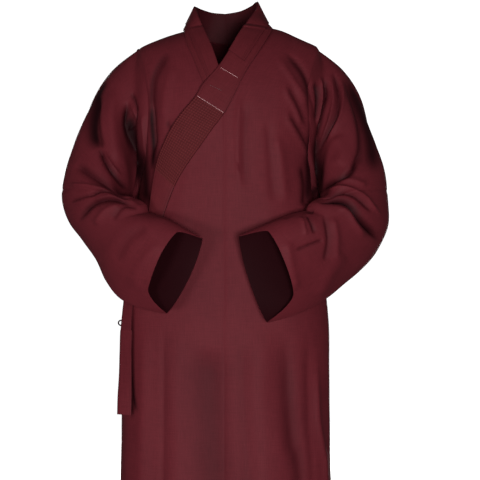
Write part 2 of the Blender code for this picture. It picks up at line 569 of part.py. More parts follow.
def sleeve_surface(rings, sign, front_folds, back_folds, place, turns):
    """The sleeve's surface with its folds, at places along it and turns round it."""
    loops = sleeve_rings(rings, sign, turns)
    points = np.empty(place.shape + (3,))
    for column in range(len(turns)):
        points[:, column] = rows_at(loops[:, column], place[:, column])
    normals = grid_normals(points, True, -sign)
    front = smooth_step(np.sin(np.radians(turns)) / 0.35)[None, :]
    back = smooth_step(-np.sin(np.radians(turns)) / 0.35)[None, :]
    start = smooth_step(place / 0.8)
    folds = (fold_height(points[..., 0], points[..., 2], front_folds) * front
             + fold_height(points[..., 0], points[..., 2], back_folds) * back) * start
    points = points + normals * folds[..., None]
    pushed = clear_of_body(points)
    weight = smooth_step(place / 0.6)[..., None]
    return points * (1.0 - weight) + pushed * weight


def grid_normals(points, closed, sign):
    """Unit normals of a grid of points. The sign says which way round the columns run."""
    if closed:
        around = np.roll(points, -1, axis=1) - np.roll(points, 1, axis=1)
    else:
        around = np.gradient(points, axis=1)
    return unit(np.cross(np.gradient(points, axis=0), around)) * sign


def make_sleeve(side, rings, sign, front_folds, back_folds, material):
    """One sleeve: the upper part from the armhole, and the extension from there to the cuff."""
    columns = SLEEVE_COLUMNS
    turns = np.arange(columns) * 360.0 / columns
    last = float(len(rings))
    facing = smooth_step(np.sin(np.radians(turns)) / 0.6)
    ends = last - CUFF_SLANT * facing
    upper_rows, lower_rows = 9, 13
    gap = JOIN_GAP * (1.0 + 2.0 * (1.0 - np.cos(np.radians(turns))))[None, :]
    upper = (JOIN_RING - gap) * np.linspace(0.0, 1.0, upper_rows)[:, None]
    along = np.linspace(0.0, 1.0, lower_rows)[:, None]
    lower = JOIN_RING + gap + (ends[None, :] - JOIN_RING - gap) * along
    place = np.concatenate((upper, lower))
    outer = sleeve_surface(rings, sign, front_folds, back_folds, place, turns)
    normals = grid_normals(outer, True, -sign)
    shoulder = smooth_step((np.cos(np.radians(turns)) - 0.82) / 0.12)[:, None]
    normals[0] = unit(normals[0] * (1.0 - shoulder * np.array((0.0, 1.0, 0.0))))
    at_join = unit(normals[upper_rows - 1] + normals[upper_rows])
    normals[upper_rows - 1] = at_join
    normals[upper_rows] = at_join
    inner = outer - CLOTH * normals
    if sign > 0.0:
        outer = outer[:, ::-1]
        inner = inner[:, ::-1]
    wall(f"sleeve_upper_{side}", outer[:upper_rows], inner[:upper_rows], True, material)
    wall(f"sleeve_lower_{side}", outer[upper_rows:], inner[upper_rows:], True, material)


def band_edges(neck_edge, lower_neck, lower_heights, seam, lift):
    """The two edges of a collar band, row by row, from the centre back to its lower end."""
    upper = np.array(neck_edge)
    lower = []
    for row, (x, y) in enumerate(lower_neck):
        level = level_in_plan(x, y)
        to_front = float(smooth_step((row - 1.5) / 2.5))
        angle = float(angle_at(np.array(level), x))
        angle = 180.0 - angle if y > 0.0 else angle
        stand = NECK_STAND * (1.0 - to_front) + (lift + NECK_STAND) * to_front
        lower.append(body_surface(level, angle, BAND + stand))
    seam_line = np.asarray(seam)
    for z in lower_heights:
        x = float(np.interp(-z, -seam_line[:, 1], seam_line[:, 0]))
        level = float(level_at(np.array([x]), np.array([z]))[0])
        lower.append(body_surface(level, float(angle_at(np.array(level), x)), lift))
    return upper, np.array(lower)


def band_surface(edges, lift, place, across):
    """Grid of a collar band's outer points at places along it and across it: straight across
    near the neck, and on the chest laid on the panel below it."""
    upper = rows_at(edges[0], place)[:, None]
    lower = rows_at(edges[1], place)[:, None]
    part = across[None, :, None]
    points = upper + (lower - upper) * part
    on_chest = smooth_step((place - 4.5) / 3.0)[:, None]
    x, z = points[..., 0], points[..., 2]
    level = level_at(x, z)
    angle = angle_at(level, x)
    normals = surface_normals(body_base, np.clip(level, 0.1, HEM_LEVEL), angle, 0.05, 0.4)
    laid = body_surface(level, angle, 0.0)[..., 1] + lift / np.minimum(normals[..., 1], -0.35)
    points[..., 1] = points[..., 1] * (1.0 - on_chest) + laid * on_chest
    return points


def make_band(name, points, sign, thickness, raised, material):
    """A collar band as a wall, with raised outer points where it is quilted."""
    normals = grid_normals(points, False, sign)
    at_nape = np.abs(points[..., :1]) < 0.002
    normals = unit(np.where(at_nape, normals * np.array((0.0, 1.0, 1.0)), normals))
    outer = points + normals * raised[..., None]
    inner = points - thickness * normals
    if sign < 0.0:
        outer = outer[:, ::-1]
        inner = inner[:, ::-1]
    wall(name, outer, inner, False, material)


def make_collar(band_material):
    """The collar: outer band with its quilted stretch and plain end, inner band, and the guard
    sewn over both round the neck."""
    outer = band_edges(OUTER_NECK_EDGE, OUTER_LOWER_NECK, OUTER_LOWER_HEIGHTS, OUTER_SEAM,
                       OUTER_BAND_LIFT)
    inner = band_edges(INNER_NECK_EDGE, INNER_LOWER_NECK, INNER_LOWER_HEIGHTS, INNER_SEAM,
                       INNER_BAND_LIFT)
    whole = np.linspace(0.0, 1.0, 5)
    outer_places = np.linspace(0.02, QUILT_START - BAND_JOIN, 30)
    inner_places = np.linspace(0.02, len(INNER_NECK_EDGE) - 1.0, 32)
    last = len(OUTER_NECK_EDGE) - 1.0
    for name, places in (("collar_outer", outer_places),
                         ("collar_end", np.linspace(QUILT_END + BAND_JOIN, last, 8))):
        points = band_surface(outer, OUTER_BAND_LIFT, places, whole)
        make_band(name, points, 1.0, BAND, np.zeros(points.shape[:2]), band_material)
    rows = 2 * QUILT_ROWS + 1
    columns = 2 * QUILT_COLUMNS + 1
    place = np.linspace(QUILT_START + BAND_JOIN, QUILT_END - BAND_JOIN, rows)
    quilted = band_surface(outer, OUTER_BAND_LIFT, place, np.linspace(0.0, 1.0, columns))
    raised = QUILT_HEIGHT * np.outer(np.arange(rows) % 2, np.arange(columns) % 2)
    make_band("collar_quilted", quilted, 1.0, BAND, raised, band_material)
    under = band_surface(inner, INNER_BAND_LIFT, inner_places, whole)
    make_band("collar_inner", under, -1.0, BAND, np.zeros(under.shape[:2]), band_material)

    across = np.array((0.0, 0.25, 0.5, GUARD_SHARE))
    right = band_surface(inner, INNER_BAND_LIFT, inner_places[inner_places < GUARD_RIGHT][::-1], across)
    left = band_surface(outer, OUTER_BAND_LIFT, outer_places[outer_places < GUARD_LEFT], across)
    guard = np.concatenate((right, left))
    guard = guard + grid_normals(guard, False, 1.0) * (2.0 * SEAM_GAP + GUARD)
    make_band("collar_guard", guard, 1.0, GUARD, np.zeros(guard.shape[:2]), band_material)


def make_tie(material):
    """The flat tie that hangs at the wearer's right side."""
    rows = rows_at(TIE_COURSE, np.linspace(0.0, len(TIE_COURSE) - 1.0, 12))
    across = np.linspace(-0.5, 0.5, 4)[None, :, None] * TIE_WIDTH
    turn = np.radians(rows[:, 3])
    direction = np.stack((np.cos(turn), -np.sin(turn), np.zeros(len(turn))), axis=-1)
    outer = rows[:, None, :3] + direction[:, None, :] * across
    inner = outer - grid_normals(outer, False, 1.0) * TIE_THICKNESS
    wall("tie", outer, inner, False, material)


def make_loop(material):
    """The small cord loop at the wearer's right side."""
    points = []
    faces = []
    for step in range(LOOP_STEPS):
        turn = 2.0 * math.pi * step / LOOP_STEPS
        for corner in range(LOOP_SIDES):
            around = 2.0 * math.pi * corner / LOOP_SIDES
            reach = LOOP_RADIUS + LOOP_CORD * math.cos(around)
            points.append((LOOP_PLACE[0] + reach * math.cos(turn),
                           LOOP_PLACE[1] + LOOP_CORD * math.sin(around),
                           LOOP_PLACE[2] + reach * math.sin(turn)))
            after = (step + 1) % LOOP_STEPS
            beside = (corner + 1) % LOOP_SIDES
            faces.append((step * LOOP_SIDES + corner, step * LOOP_SIDES + beside,
                          after * LOOP_SIDES + beside, after * LOOP_SIDES + corner))
    add_object("tie_loop", points, faces, material)


def main():
    """Builds the robe."""
    for old in list(bpy.data.objects):
        bpy.data.objects.remove(old, do_unlink=True)
    cloth = make_material("maroon woven cloth", MAROON, 0.75)
    band_cloth = make_material("maroon collar cloth", MAROON_BAND, 0.72)
    dark_cord = make_material("dark maroon cord", MAROON_DARK, 0.8)
    make_backs(cloth)
    make_front_left(cloth)
    make_front_overlap(cloth)
    make_front_right(cloth)
    make_sleeve("right", RIGHT_RINGS, -1.0, RIGHT_SLEEVE_FOLDS, RIGHT_SLEEVE_BACK_FOLDS, cloth)
    make_sleeve("left", LEFT_RINGS, 1.0, LEFT_SLEEVE_FOLDS, LEFT_SLEEVE_BACK_FOLDS, cloth)
    make_collar(band_cloth)
    make_tie(cloth)
    make_loop(dark_cord)


main()
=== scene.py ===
import math

import bpy
import numpy as np
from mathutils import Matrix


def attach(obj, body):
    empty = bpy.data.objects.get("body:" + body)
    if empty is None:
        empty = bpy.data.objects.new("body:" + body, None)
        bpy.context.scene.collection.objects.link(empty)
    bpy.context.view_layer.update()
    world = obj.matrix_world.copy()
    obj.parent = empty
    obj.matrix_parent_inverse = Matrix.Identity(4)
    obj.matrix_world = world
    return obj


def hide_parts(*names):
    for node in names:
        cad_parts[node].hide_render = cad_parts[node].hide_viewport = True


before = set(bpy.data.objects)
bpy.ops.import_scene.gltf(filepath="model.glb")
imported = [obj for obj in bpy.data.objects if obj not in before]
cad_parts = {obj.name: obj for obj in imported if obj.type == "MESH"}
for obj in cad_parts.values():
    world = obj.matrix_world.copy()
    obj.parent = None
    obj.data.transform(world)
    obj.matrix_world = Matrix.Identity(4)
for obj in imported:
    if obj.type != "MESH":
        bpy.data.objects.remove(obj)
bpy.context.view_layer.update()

# The camera stands in front of the robe at chest height, as for the photograph: a frame one
# metre wide at the middle of the body, which ends at the knee.
CAMERA_DISTANCE = 3.6
FRAME_WIDTH = 1.0
camera_data = bpy.data.cameras.new("camera")
camera_data.angle = 2.0 * math.atan(0.5 * FRAME_WIDTH / CAMERA_DISTANCE)
camera = bpy.data.objects.new("camera", camera_data)
camera.location = (0.03125, -CAMERA_DISTANCE, -0.4333)
camera.rotation_euler = (math.radians(90.0), 0.0, 0.0)
bpy.context.scene.collection.objects.link(camera)
bpy.context.scene.camera = camera

# The two backs. Each is one length of smooth maroon cloth from the shoulder to the hem, seamed
# to the other at the centre back and to the fronts at the shoulder and side. The cloth hangs
# from the shoulders in long soft folds.
ROUNDNESS = 2.6           # superellipse power of the body's sections
ARMPIT_LEVEL = 8.6        # level of the body table at which the armholes end
HEM_LEVEL = 14.0
HEM_HEIGHT = -1.270
NECK_BACK_LEVEL = 3.1
NECK_SIDE = 21.5          # half angle of the neck hole on the shoulder line
CLOTH = 0.0016            # one layer of cloth with its seam allowances
SEAM_DEPTH = 0.0012       # how far the cloth dips into a seam
SEAM_WIDTH = 0.0032
SIDE_FADE = 0.16          # share of a section's side over which its folds run out
SHOULDER_FADE = 1.6       # levels below the shoulder line over which the folds set in
FOLD_FADE = 0.22          # share of a fold's length over which it fades in or out
FOLD_STEPS = 16           # straight steps between two given points of a fold's line
FOLD_REACH = 3.0          # widths from that line within which a fold is worked out
HEM_RUN = 0.06            # a fold that ends this close to the hem runs on over it
DARK_POWER = 1.5          # how quickly a fold's painted shade builds up
MM = 0.001                # the tables of folds are in millimetres
LATTICE = 40              # knots each way of the cloth's uneven lie
LEVEL_STEP = 0.05         # steps in level and angle from which normals are worked out
ANGLE_STEP = 0.4

# Levels of the body from the shoulder line down to the hem.
# Columns: centre height, side drop, centre across, half width, front depth, back depth
BODY_LEVELS = (
    (0.012, 0.049, 0.006, 0.190, 0.0002, 0.0002),
    (0.010, 0.049, 0.006, 0.191, 0.014, 0.018),
    (0.004, 0.048, 0.006, 0.193, 0.034, 0.044),
    (-0.014, 0.045, 0.005, 0.195, 0.060, 0.073),
    (-0.045, 0.038, 0.005, 0.194, 0.084, 0.099),
    (-0.085, 0.030, 0.004, 0.190, 0.103, 0.116),
    (-0.135, 0.018, 0.004, 0.184, 0.117, 0.126),
    (-0.200, 0.008, 0.003, 0.178, 0.125, 0.127),
    (-0.290, 0.002, 0.002, 0.174, 0.128, 0.119),
    (-0.400, 0.0, 0.001, 0.195, 0.130, 0.111),
    (-0.500, 0.0, 0.0, 0.201, 0.132, 0.116),
    (-0.620, 0.0, 0.001, 0.2075, 0.130, 0.124),
    (-0.800, 0.0, 0.001, 0.2085, 0.132, 0.132),
    (-1.030, 0.0, 0.001, 0.2135, 0.137, 0.140),
    (-1.270, 0.0, 0.002, 0.2250, 0.144, 0.148),
)
# How far the armholes cut in, in degrees of section, from the shoulder line to the armpit.
# Columns: into the front, into the back
ARMHOLE_CUTS = (
    (14.0, 14.0), (16.0, 15.5), (20.0, 19.0), (26.0, 24.0), (31.0, 27.5), (33.0, 28.5), (30.5, 26.0),
    (22.0, 19.0), (0.0, 0.0),
)
# Folds of the back by their place across and height. Columns: points of the line (across,
# height, and so on), half width on its two sides and rise (a trough is negative), all in
# millimetres, then power (2 is soft, 1.3 sharp) and how much painted shade darkens its middle
BACK_FOLDS = (
    ((130, -75, 142, -150, 128, -300), 8, 12, -9, 1.4, 0.26),
    ((-132, -80, -140, -160, -122, -310), 12, 8, -9, 1.4, 0.26),
    ((105, -60, 112, -150, 98, -320), 9, 11, 5, 1.7, 0.0),
    ((-104, -60, -112, -170, -90, -330), 10, 10, 5, 1.7, 0.0),
    ((120, -180, 96, -260, 90, -360), 4, 5, 4, 1.5, 0.0),
    ((-118, -200, -92, -280, -86, -380), 5, 4, 4, 1.5, 0.0),
    ((60, -200, 70, -450, 90, -800, 104, -1270), 26, 32, 9, 2.0, 0.0),
    ((20, -420, 34, -700, 46, -1270), 18, 22, -8, 1.8, 0.12),
    ((-50, -300, -66, -560, -76, -900, -80, -1270), 30, 24, 9, 2.0, 0.0),
    ((-110, -420, -124, -700, -136, -1270), 16, 20, -9, 1.7, 0.12),
    ((150, -520, 152, -800, 160, -1270), 14, 18, -8, 1.6, 0.12),
    ((-168, -560, -176, -800, -184, -1270), 12, 12, 7, 1.7, 0.0),
    ((130, -560, 134, -860, 136, -1270), 5, 6, 5, 1.5, 0.0),
    ((-20, -560, -24, -860, -30, -1270), 10, 12, -4, 1.7, 0.12),
    ((30, -110, 60, -200, 110, -270), 5, 8, 3.4, 1.5, 0.0),
    ((-24, -140, -60, -240, -112, -290), 5, 8, 3.4, 1.5, 0.0),
    ((26, -150, 52, -250, 100, -320), 6, 8, -3, 1.6, 0.15),
)
WAVES = 1.6               # how strongly the cloth's uneven lie shows, in millimetres


def rows_at(table, place):
    """Rows of a table at fractional places: a cubic Hermite curve through the rows, whose
    slopes are half the differences of the rows on either side."""
    rows = np.asarray(table, dtype=float)
    place = np.clip(np.asarray(place, dtype=float), 0.0, len(rows) - 1.0)
    first = np.minimum(place.astype(int), len(rows) - 2)
    part = (place - first)[..., None]
    before = rows[np.maximum(first - 1, 0)]
    here = rows[first]
    after = rows[first + 1]
    beyond = rows[np.minimum(first + 2, len(rows) - 1)]
    slope_here = 0.5 * (after - before)
    slope_after = 0.5 * (beyond - here)
    return ((2 * part**3 - 3 * part**2 + 1) * here + (part**3 - 2 * part**2 + part) * slope_here
            + (3 * part**2 - 2 * part**3) * after + (part**3 - part**2) * slope_after)


def smooth_step(value):
    """0 below 0, 1 above 1, and 3v^2 - 2v^3 between."""
    value = np.clip(value, 0.0, 1.0)
    return value * value * (3.0 - 2.0 * value)


def unit(vectors):
    """Vectors of length one."""
    return vectors / np.maximum(np.linalg.norm(vectors, axis=-1, keepdims=True), 1e-12)


def fold_forms(across, height, folds):
    """The folds' height and painted shade. Each is its rise or its painted shade times
    exp(-(distance / width)^power) from the fold's line, faded in and out over FOLD_FADE or
    running on at the hem. Heights add up. The painted shade d of the deepest one is given as
    1 - (1 - d)^DARK_POWER."""
    total = np.zeros(np.shape(across))
    dark = np.zeros(np.shape(across))
    flat_across = np.ravel(across)
    flat_height = np.ravel(height)
    for places, width_minus, width_plus, rise, power, darkness in folds:
        line = MM * np.reshape(places, (-1, 2))
        curve = rows_at(line, np.linspace(0.0, len(line) - 1.0, FOLD_STEPS * (len(line) - 1) + 1))
        reach = FOLD_REACH * MM * max(width_minus, width_plus)
        near = ((flat_across > curve[:, 0].min() - reach) & (flat_across < curve[:, 0].max() + reach)
                & (flat_height > curve[:, 1].min() - reach) & (flat_height < curve[:, 1].max() + reach))
        start = curve[:-1]
        run = curve[1:] - start
        offset_x = flat_across[near][:, None] - start[:, 0]
        offset_z = flat_height[near][:, None] - start[:, 1]
        part = np.clip((offset_x * run[:, 0] + offset_z * run[:, 1]) / (run**2).sum(axis=1), 0.0, 1.0)
        gap_x = offset_x - part * run[:, 0]
        gap_z = offset_z - part * run[:, 1]
        distance = np.hypot(gap_x, gap_z)
        nearest = distance.argmin(axis=1)
        rows = np.arange(len(nearest))
        place = (nearest + part[rows, nearest]) / len(run)
        side = (run[nearest, 1] * gap_x[rows, nearest] - run[nearest, 0] * gap_z[rows, nearest])
        width = MM * np.where(side > 0.0, width_minus, width_plus)
        fade = smooth_step(place / FOLD_FADE)
        if curve[-1, 1] > HEM_HEIGHT + HEM_RUN:
            fade = fade * smooth_step((1.0 - place) / FOLD_FADE)
        form = np.exp(-((distance[rows, nearest] / width) ** power)) * fade
        total.reshape(-1)[near] += MM * rise * form
        dark.reshape(-1)[near] = np.maximum(dark.reshape(-1)[near], darkness * form)
    return total, 1.0 - (1.0 - dark) ** DARK_POWER


def uneven(first, second, spacing_first, spacing_second, seed):
    """The cloth's uneven lie, from -1 to 1: random heights on a lattice, joined by the same
    cubic curve both ways."""
    lattice = np.random.default_rng(seed).uniform(-1.0, 1.0, (LATTICE, LATTICE))
    u = np.mod(np.asarray(first) / spacing_first + 11.3, LATTICE - 4.0)
    v = np.mod(np.asarray(second) / spacing_second + 13.7, LATTICE - 4.0)
    column = u.astype(int)
    row = v.astype(int)
    part_u = smooth_step(u - column)
    part_v = smooth_step(v - row)
    top = lattice[row, column] * (1.0 - part_u) + lattice[row, column + 1] * part_u
    below = lattice[row + 1, column] * (1.0 - part_u) + lattice[row + 1, column + 1] * part_u
    return top * (1.0 - part_v) + below * part_v


def body_base(level, angle):
    """Points of the body without folds: level by level a superellipse, 0 degrees at the centre
    front, 90 at the wearer's left, 180 at the centre back, lower towards its sides."""
    centre_z, drop, centre_x, half, front, back = np.moveaxis(rows_at(BODY_LEVELS, level), -1, 0)
    turn = np.radians(angle)
    power = 2.0 / ROUNDNESS
    sine = np.sign(np.sin(turn)) * np.abs(np.sin(turn)) ** power
    cosine = np.sign(np.cos(turn)) * np.abs(np.cos(turn)) ** power
    depth = np.where(cosine > 0.0, front, back)
    return np.stack((centre_x + half * sine, -depth * cosine, centre_z - drop * sine**2), axis=-1)


def base_normals(level, angle):
    """Outward unit normals of the body without folds, from small steps both ways."""
    inside = np.clip(level, 0.06, HEM_LEVEL - 0.06)
    away = np.where(np.abs(np.cos(np.radians(angle))) < 0.02, angle + 1.0, angle)
    down = body_base(inside + LEVEL_STEP, away) - body_base(inside - LEVEL_STEP, away)
    around = body_base(inside, away + ANGLE_STEP) - body_base(inside, away - ANGLE_STEP)
    return unit(np.cross(down, around))


def armhole_angle(level, column):
    """How far from the side the armhole cuts into a level: column 0 the front, 1 the back."""
    part = np.clip(np.asarray(level, dtype=float) / ARMPIT_LEVEL, 0.0, 1.0)
    return np.maximum(rows_at(ARMHOLE_CUTS, part * (len(ARMHOLE_CUTS) - 1.0))[..., column], 0.0)


def back_surface(level, angle, lift=0.0):
    """The back: the body's form moved out along its normals by the folds and the uneven lie."""
    level, angle, lift = np.broadcast_arrays(np.asarray(level, dtype=float), angle, lift)
    points = body_base(level, angle)
    across, height = points[..., 0], points[..., 2]
    folds = fold_forms(across, height, BACK_FOLDS)[0]
    folds = folds + MM * WAVES * (uneven(across, height, 0.045, 0.16, 5)
                                  + 0.5 * uneven(across, height, 0.022, 0.09, 6))
    fade = smooth_step(np.abs(np.cos(np.radians(angle))) / SIDE_FADE) * smooth_step(level / SHOULDER_FADE)
    return points + base_normals(level, angle) * (lift + folds * fade)[..., None]


def grid_normals(points, closed=False):
    """Unit normals of a grid of points, from the steps down and round."""
    if closed:
        around = np.roll(points, -1, axis=1) - np.roll(points, 1, axis=1)
    else:
        around = np.gradient(points, axis=1)
    return unit(np.cross(np.gradient(points, axis=0), around))


def panel_rows(above, below):
    """Shares of the way from a panel's top to its hem: close together over the shoulder."""
    turn = np.linspace(0.0, math.pi, above)
    return np.concatenate((ARMPIT_LEVEL * (1.0 - np.cos(turn)) / 2.0,
                           np.linspace(ARMPIT_LEVEL, HEM_LEVEL, below)[1:]))


def panel_columns(count):
    """Shares of the way across a panel: a few close together at its two seams."""
    seam = np.array((0.0, 0.005, 0.011, 0.019, 0.031))
    return np.concatenate((seam, np.linspace(0.031, 0.969, count)[1:-1], 1.0 - seam[::-1]))


def run_along(points, axis):
    """Distance of each point of a grid from the first one along an axis: the sum of the steps."""
    step = np.linalg.norm(np.diff(points, axis=axis), axis=-1)
    return np.insert(np.cumsum(step, axis=axis), 0, 0.0, axis=axis)


def seam_dip(points, edges):
    """How far each point of a panel dips towards a seam: SEAM_DEPTH * exp(-(d / SEAM_WIDTH)^2)
    from its first column, last column, or both."""
    from_first = run_along(points, 1)
    dip = np.zeros(from_first.shape)
    if "first" in edges:
        dip += np.exp(-((from_first / SEAM_WIDTH) ** 2))
    if "last" in edges:
        dip += np.exp(-(((from_first[:, -1:] - from_first) / SEAM_WIDTH) ** 2))
    return SEAM_DEPTH * dip


def quads_of(index):
    """The faces of a grid of point numbers."""
    corners = (index[:-1, :-1], index[1:, :-1], index[1:, 1:], index[:-1, 1:])
    return np.stack(corners, axis=-1).reshape(-1, 4)


def add_piece(name, points, faces):
    """A smooth mesh of points and faces as an object in the scene."""
    mesh = bpy.data.meshes.new(name)
    mesh.from_pydata(points.tolist(), [], faces)
    mesh.shade_smooth()
    piece = bpy.data.objects.new(name, mesh)
    bpy.context.scene.collection.objects.link(piece)
    return piece


def cloth_shell(name, outer, outward, thickness, closed=False, dark=None, inside=0.65):
    """A closed shell of cloth: the outer grid, a copy one thickness inside it, and the cut
    edges between them. Its UV map is the cloth's own lie in metres, across and along. Its shade
    attribute is painted shade: dark outside, and at least inside on its inner face."""
    across = run_along(outer, 1)
    along = run_along(outer, 0).mean(axis=1, keepdims=True) + np.zeros_like(across)
    dark = np.zeros(across.shape) if dark is None else dark
    winding = np.cross(np.gradient(outer, axis=0), np.gradient(outer, axis=1))
    if (winding * outward).sum() < 0.0:
        outer, outward = outer[:, ::-1], outward[:, ::-1]
        across, along, dark = across[:, ::-1], along[:, ::-1], dark[:, ::-1]
    rows, columns = outer.shape[:2]
    count = rows * columns
    points = np.concatenate((outer.reshape(-1, 3), (outer - thickness * outward).reshape(-1, 3)))
    index = np.arange(count).reshape(rows, columns)
    if closed:
        index = np.concatenate((index, index[:, :1]), axis=1)
    quads = quads_of(index)
    edges = [index[0], index[-1, ::-1]]
    if not closed:
        edges += [index[::-1, 0], index[:, -1]]
    rims = [np.stack((count + edge[1:], count + edge[:-1], edge[:-1], edge[1:]), axis=-1) for edge in edges]
    faces = np.concatenate([quads, count + quads[:, ::-1]] + rims)
    piece = add_piece(name, points, faces.tolist())
    mesh = piece.data
    layer = mesh.uv_layers.new(name="cloth")
    places = np.stack((across, along), axis=-1).reshape(-1, 2)
    places = np.concatenate((places, places))
    layer.data.foreach_set("uv", places[faces.reshape(-1)].astype(np.float32).reshape(-1))
    shade = mesh.attributes.new("shade", "FLOAT", "POINT")
    # The inner face gets painted shade, at least inside, for the dark insides of the cuffs, sleeves and
    # neck.
    both = np.concatenate((dark.reshape(-1), np.maximum(dark, inside).reshape(-1)))
    shade.data.foreach_set("value", both.astype(np.float32))
    mesh.set_sharp_from_angle(angle=math.radians(55.0))
    return piece


def linear(code):
    """An sRGB hex colour in linear light: c / 12.92 below 0.04045, else ((c + 0.055) / 1.055)^2.4."""
    parts = [int(code[place:place + 2], 16) / 255.0 for place in (1, 3, 5)]
    return tuple(c / 12.92 if c < 0.04045 else ((c + 0.055) / 1.055) ** 2.4 for c in parts) + (1.0,)


def add_node(tree, kind, values=(), links=(), **settings):
    """Adds a node: settings are its attributes, values its inputs' (input, value), and links
    what feeds it (input, node, output)."""
    made = tree.nodes.new(kind)
    for key, value in settings.items():
        setattr(made, key, value)
    for key, value in values:
        made.inputs[key].default_value = value
    for key, source, output in links:
        tree.links.new(source.outputs[output], made.inputs[key])
    return made


def new_material(name, inputs):
    """A material, its node tree and its shader, with the shader's inputs (input, value)."""
    material = bpy.data.materials.new(name)
    material.use_nodes = True
    shader = material.node_tree.nodes["Principled BSDF"]
    for key, value in inputs:
        shader.inputs[key].default_value = value
    return material, material.node_tree, shader


def woven_cloth(name, light, dark, painted_shade_colour, weave=0.35, rough=0.60):
    """Smooth woven cotton blend: slubby threads both ways, a faint sheen from its fine nap, and
    slow changes of tone where the dye took differently. Its shade attribute mixes in painted
    shade, towards the third colour."""
    material, tree, shader = new_material(name, [
        ("Roughness", rough), ("Specular IOR Level", 0.07), ("Sheen Weight", 0.03),
        ("Sheen Roughness", 0.38), ("Sheen Tint", linear("#b8565f"))])
    cloth_map = add_node(tree, "ShaderNodeUVMap", uv_map="cloth")
    fine = 1.0 / WEAVE_THREAD
    long = fine / SLUB_LENGTH
    ways = []
    for scale in ((fine, long, 1.0), (long, fine, 1.0)):
        drawn_out = add_node(tree, "ShaderNodeMapping", [("Scale", scale)], [("Vector", cloth_map, "UV")])
        ways.append(add_node(tree, "ShaderNodeTexNoise", [("Scale", 1.0), ("Detail", 2.0)],
                             [("Vector", drawn_out, "Vector")]))
    threads = add_node(tree, "ShaderNodeMath", (), [(0, ways[0], "Fac"), (1, ways[1], "Fac")],
                       operation="ADD")
    bump = add_node(tree, "ShaderNodeBump", [("Strength", weave), ("Distance", 0.0006)],
                    [("Height", threads, "Value")])
    tree.links.new(bump.outputs["Normal"], shader.inputs["Normal"])
    place = add_node(tree, "ShaderNodeTexCoord")
    cloud = add_node(tree, "ShaderNodeTexNoise", [("Scale", 7.0), ("Detail", 3.0)],
                     [("Vector", place, "Object")])
    spread = add_node(tree, "ShaderNodeMapRange",
                      [("From Min", 0.3), ("From Max", 0.7)], [("Value", cloud, "Fac")])
    tone = add_node(tree, "ShaderNodeMix", [("A", linear(dark)), ("B", linear(light))],
                    [("Factor", spread, "Result")], data_type="RGBA")
    slub = add_node(tree, "ShaderNodeMapRange",
                    [("From Min", 0.7), ("From Max", 1.3), ("To Min", 0.90), ("To Max", 1.10)],
                    [("Value", threads, "Value")])
    threaded = add_node(tree, "ShaderNodeMix", [("Factor", 1.0)],
                        [("A", tone, "Result"), ("B", slub, "Result")],
                        data_type="RGBA", blend_type="MULTIPLY")
    shade = add_node(tree, "ShaderNodeAttribute", attribute_name="shade")
    # Painted shade: the base colour is mixed towards the near-black maroon as far as the shade attribute
    # says.
    depth = add_node(tree, "ShaderNodeMix", [("B", linear(painted_shade_colour))],
                     [("Factor", shade, "Fac"), ("A", threaded, "Result")], data_type="RGBA")
    tree.links.new(depth.outputs["Result"], shader.inputs["Base Color"])
    return material


# Maroon cotton and polyester cloth, piece dyed and pressed: smooth, with a soft sheen where it
# turns away. Its threads are drawn about five times too coarse, so that they show.
WEAVE_THREAD = 0.0022
SLUB_LENGTH = 14.0        # how many times as long as wide a thread's thicker place is
# Its third colour, a near-black maroon, is the painted shade in folds, edges and inner faces.
robe_cloth = woven_cloth("maroon woven cotton blend", "#5d1f26", "#561c23", "#170306")


def dress(piece, material, slot_name, *nodes):
    """Gives a finished piece its material, sets it on the root body, and hides the model's
    parts that it stands for.
    """
    piece.data.materials.append(material)
    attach(piece, "root")
    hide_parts(*nodes)


def panel_levels(top, rows):
    """Levels of a panel's points: from its top edge to the armpit, and then down to the hem."""
    above = top + (ARMPIT_LEVEL - top) * rows / ARMPIT_LEVEL
    return np.where(rows < ARMPIT_LEVEL, above, rows + np.zeros_like(top))


def panel(name, surface, level, angle, seams, folds, lift=0.0):
    """One panel of the body as a closed shell, dipped towards its seams, with painted shade in the
    depth of its folds, where the real cloth is shaded by itself."""
    outward = base_normals(level, angle)
    outer = surface(level, angle, lift)
    outer = outer - outward * seam_dip(outer, seams)[..., None]
    real = grid_normals(outer)
    real = real * np.sign((real * outward).sum(axis=-1, keepdims=True))
    return cloth_shell(name, outer, real, CLOTH, dark=fold_forms(outer[..., 0], outer[..., 2], folds)[1])


back_rows = panel_rows(76, 200)[:, None]
back_columns = panel_columns(58)[None, :]
neckline = NECK_BACK_LEVEL * np.sqrt(1.0 - np.minimum(back_columns * 90.0 / NECK_SIDE, 1.0) ** 2)
for side_name, side in (("left", 1.0), ("right", -1.0)):
    level = panel_levels(neckline, back_rows)
    angle = 180.0 + (armhole_angle(level, 1) - 90.0) * back_columns
    piece = panel(f"cloth_back_{side_name}", back_surface, level, side * angle, ("first", "last"),
                  BACK_FOLDS)
    dress(piece, robe_cloth, "robe_cloth", f"back_{side_name}")

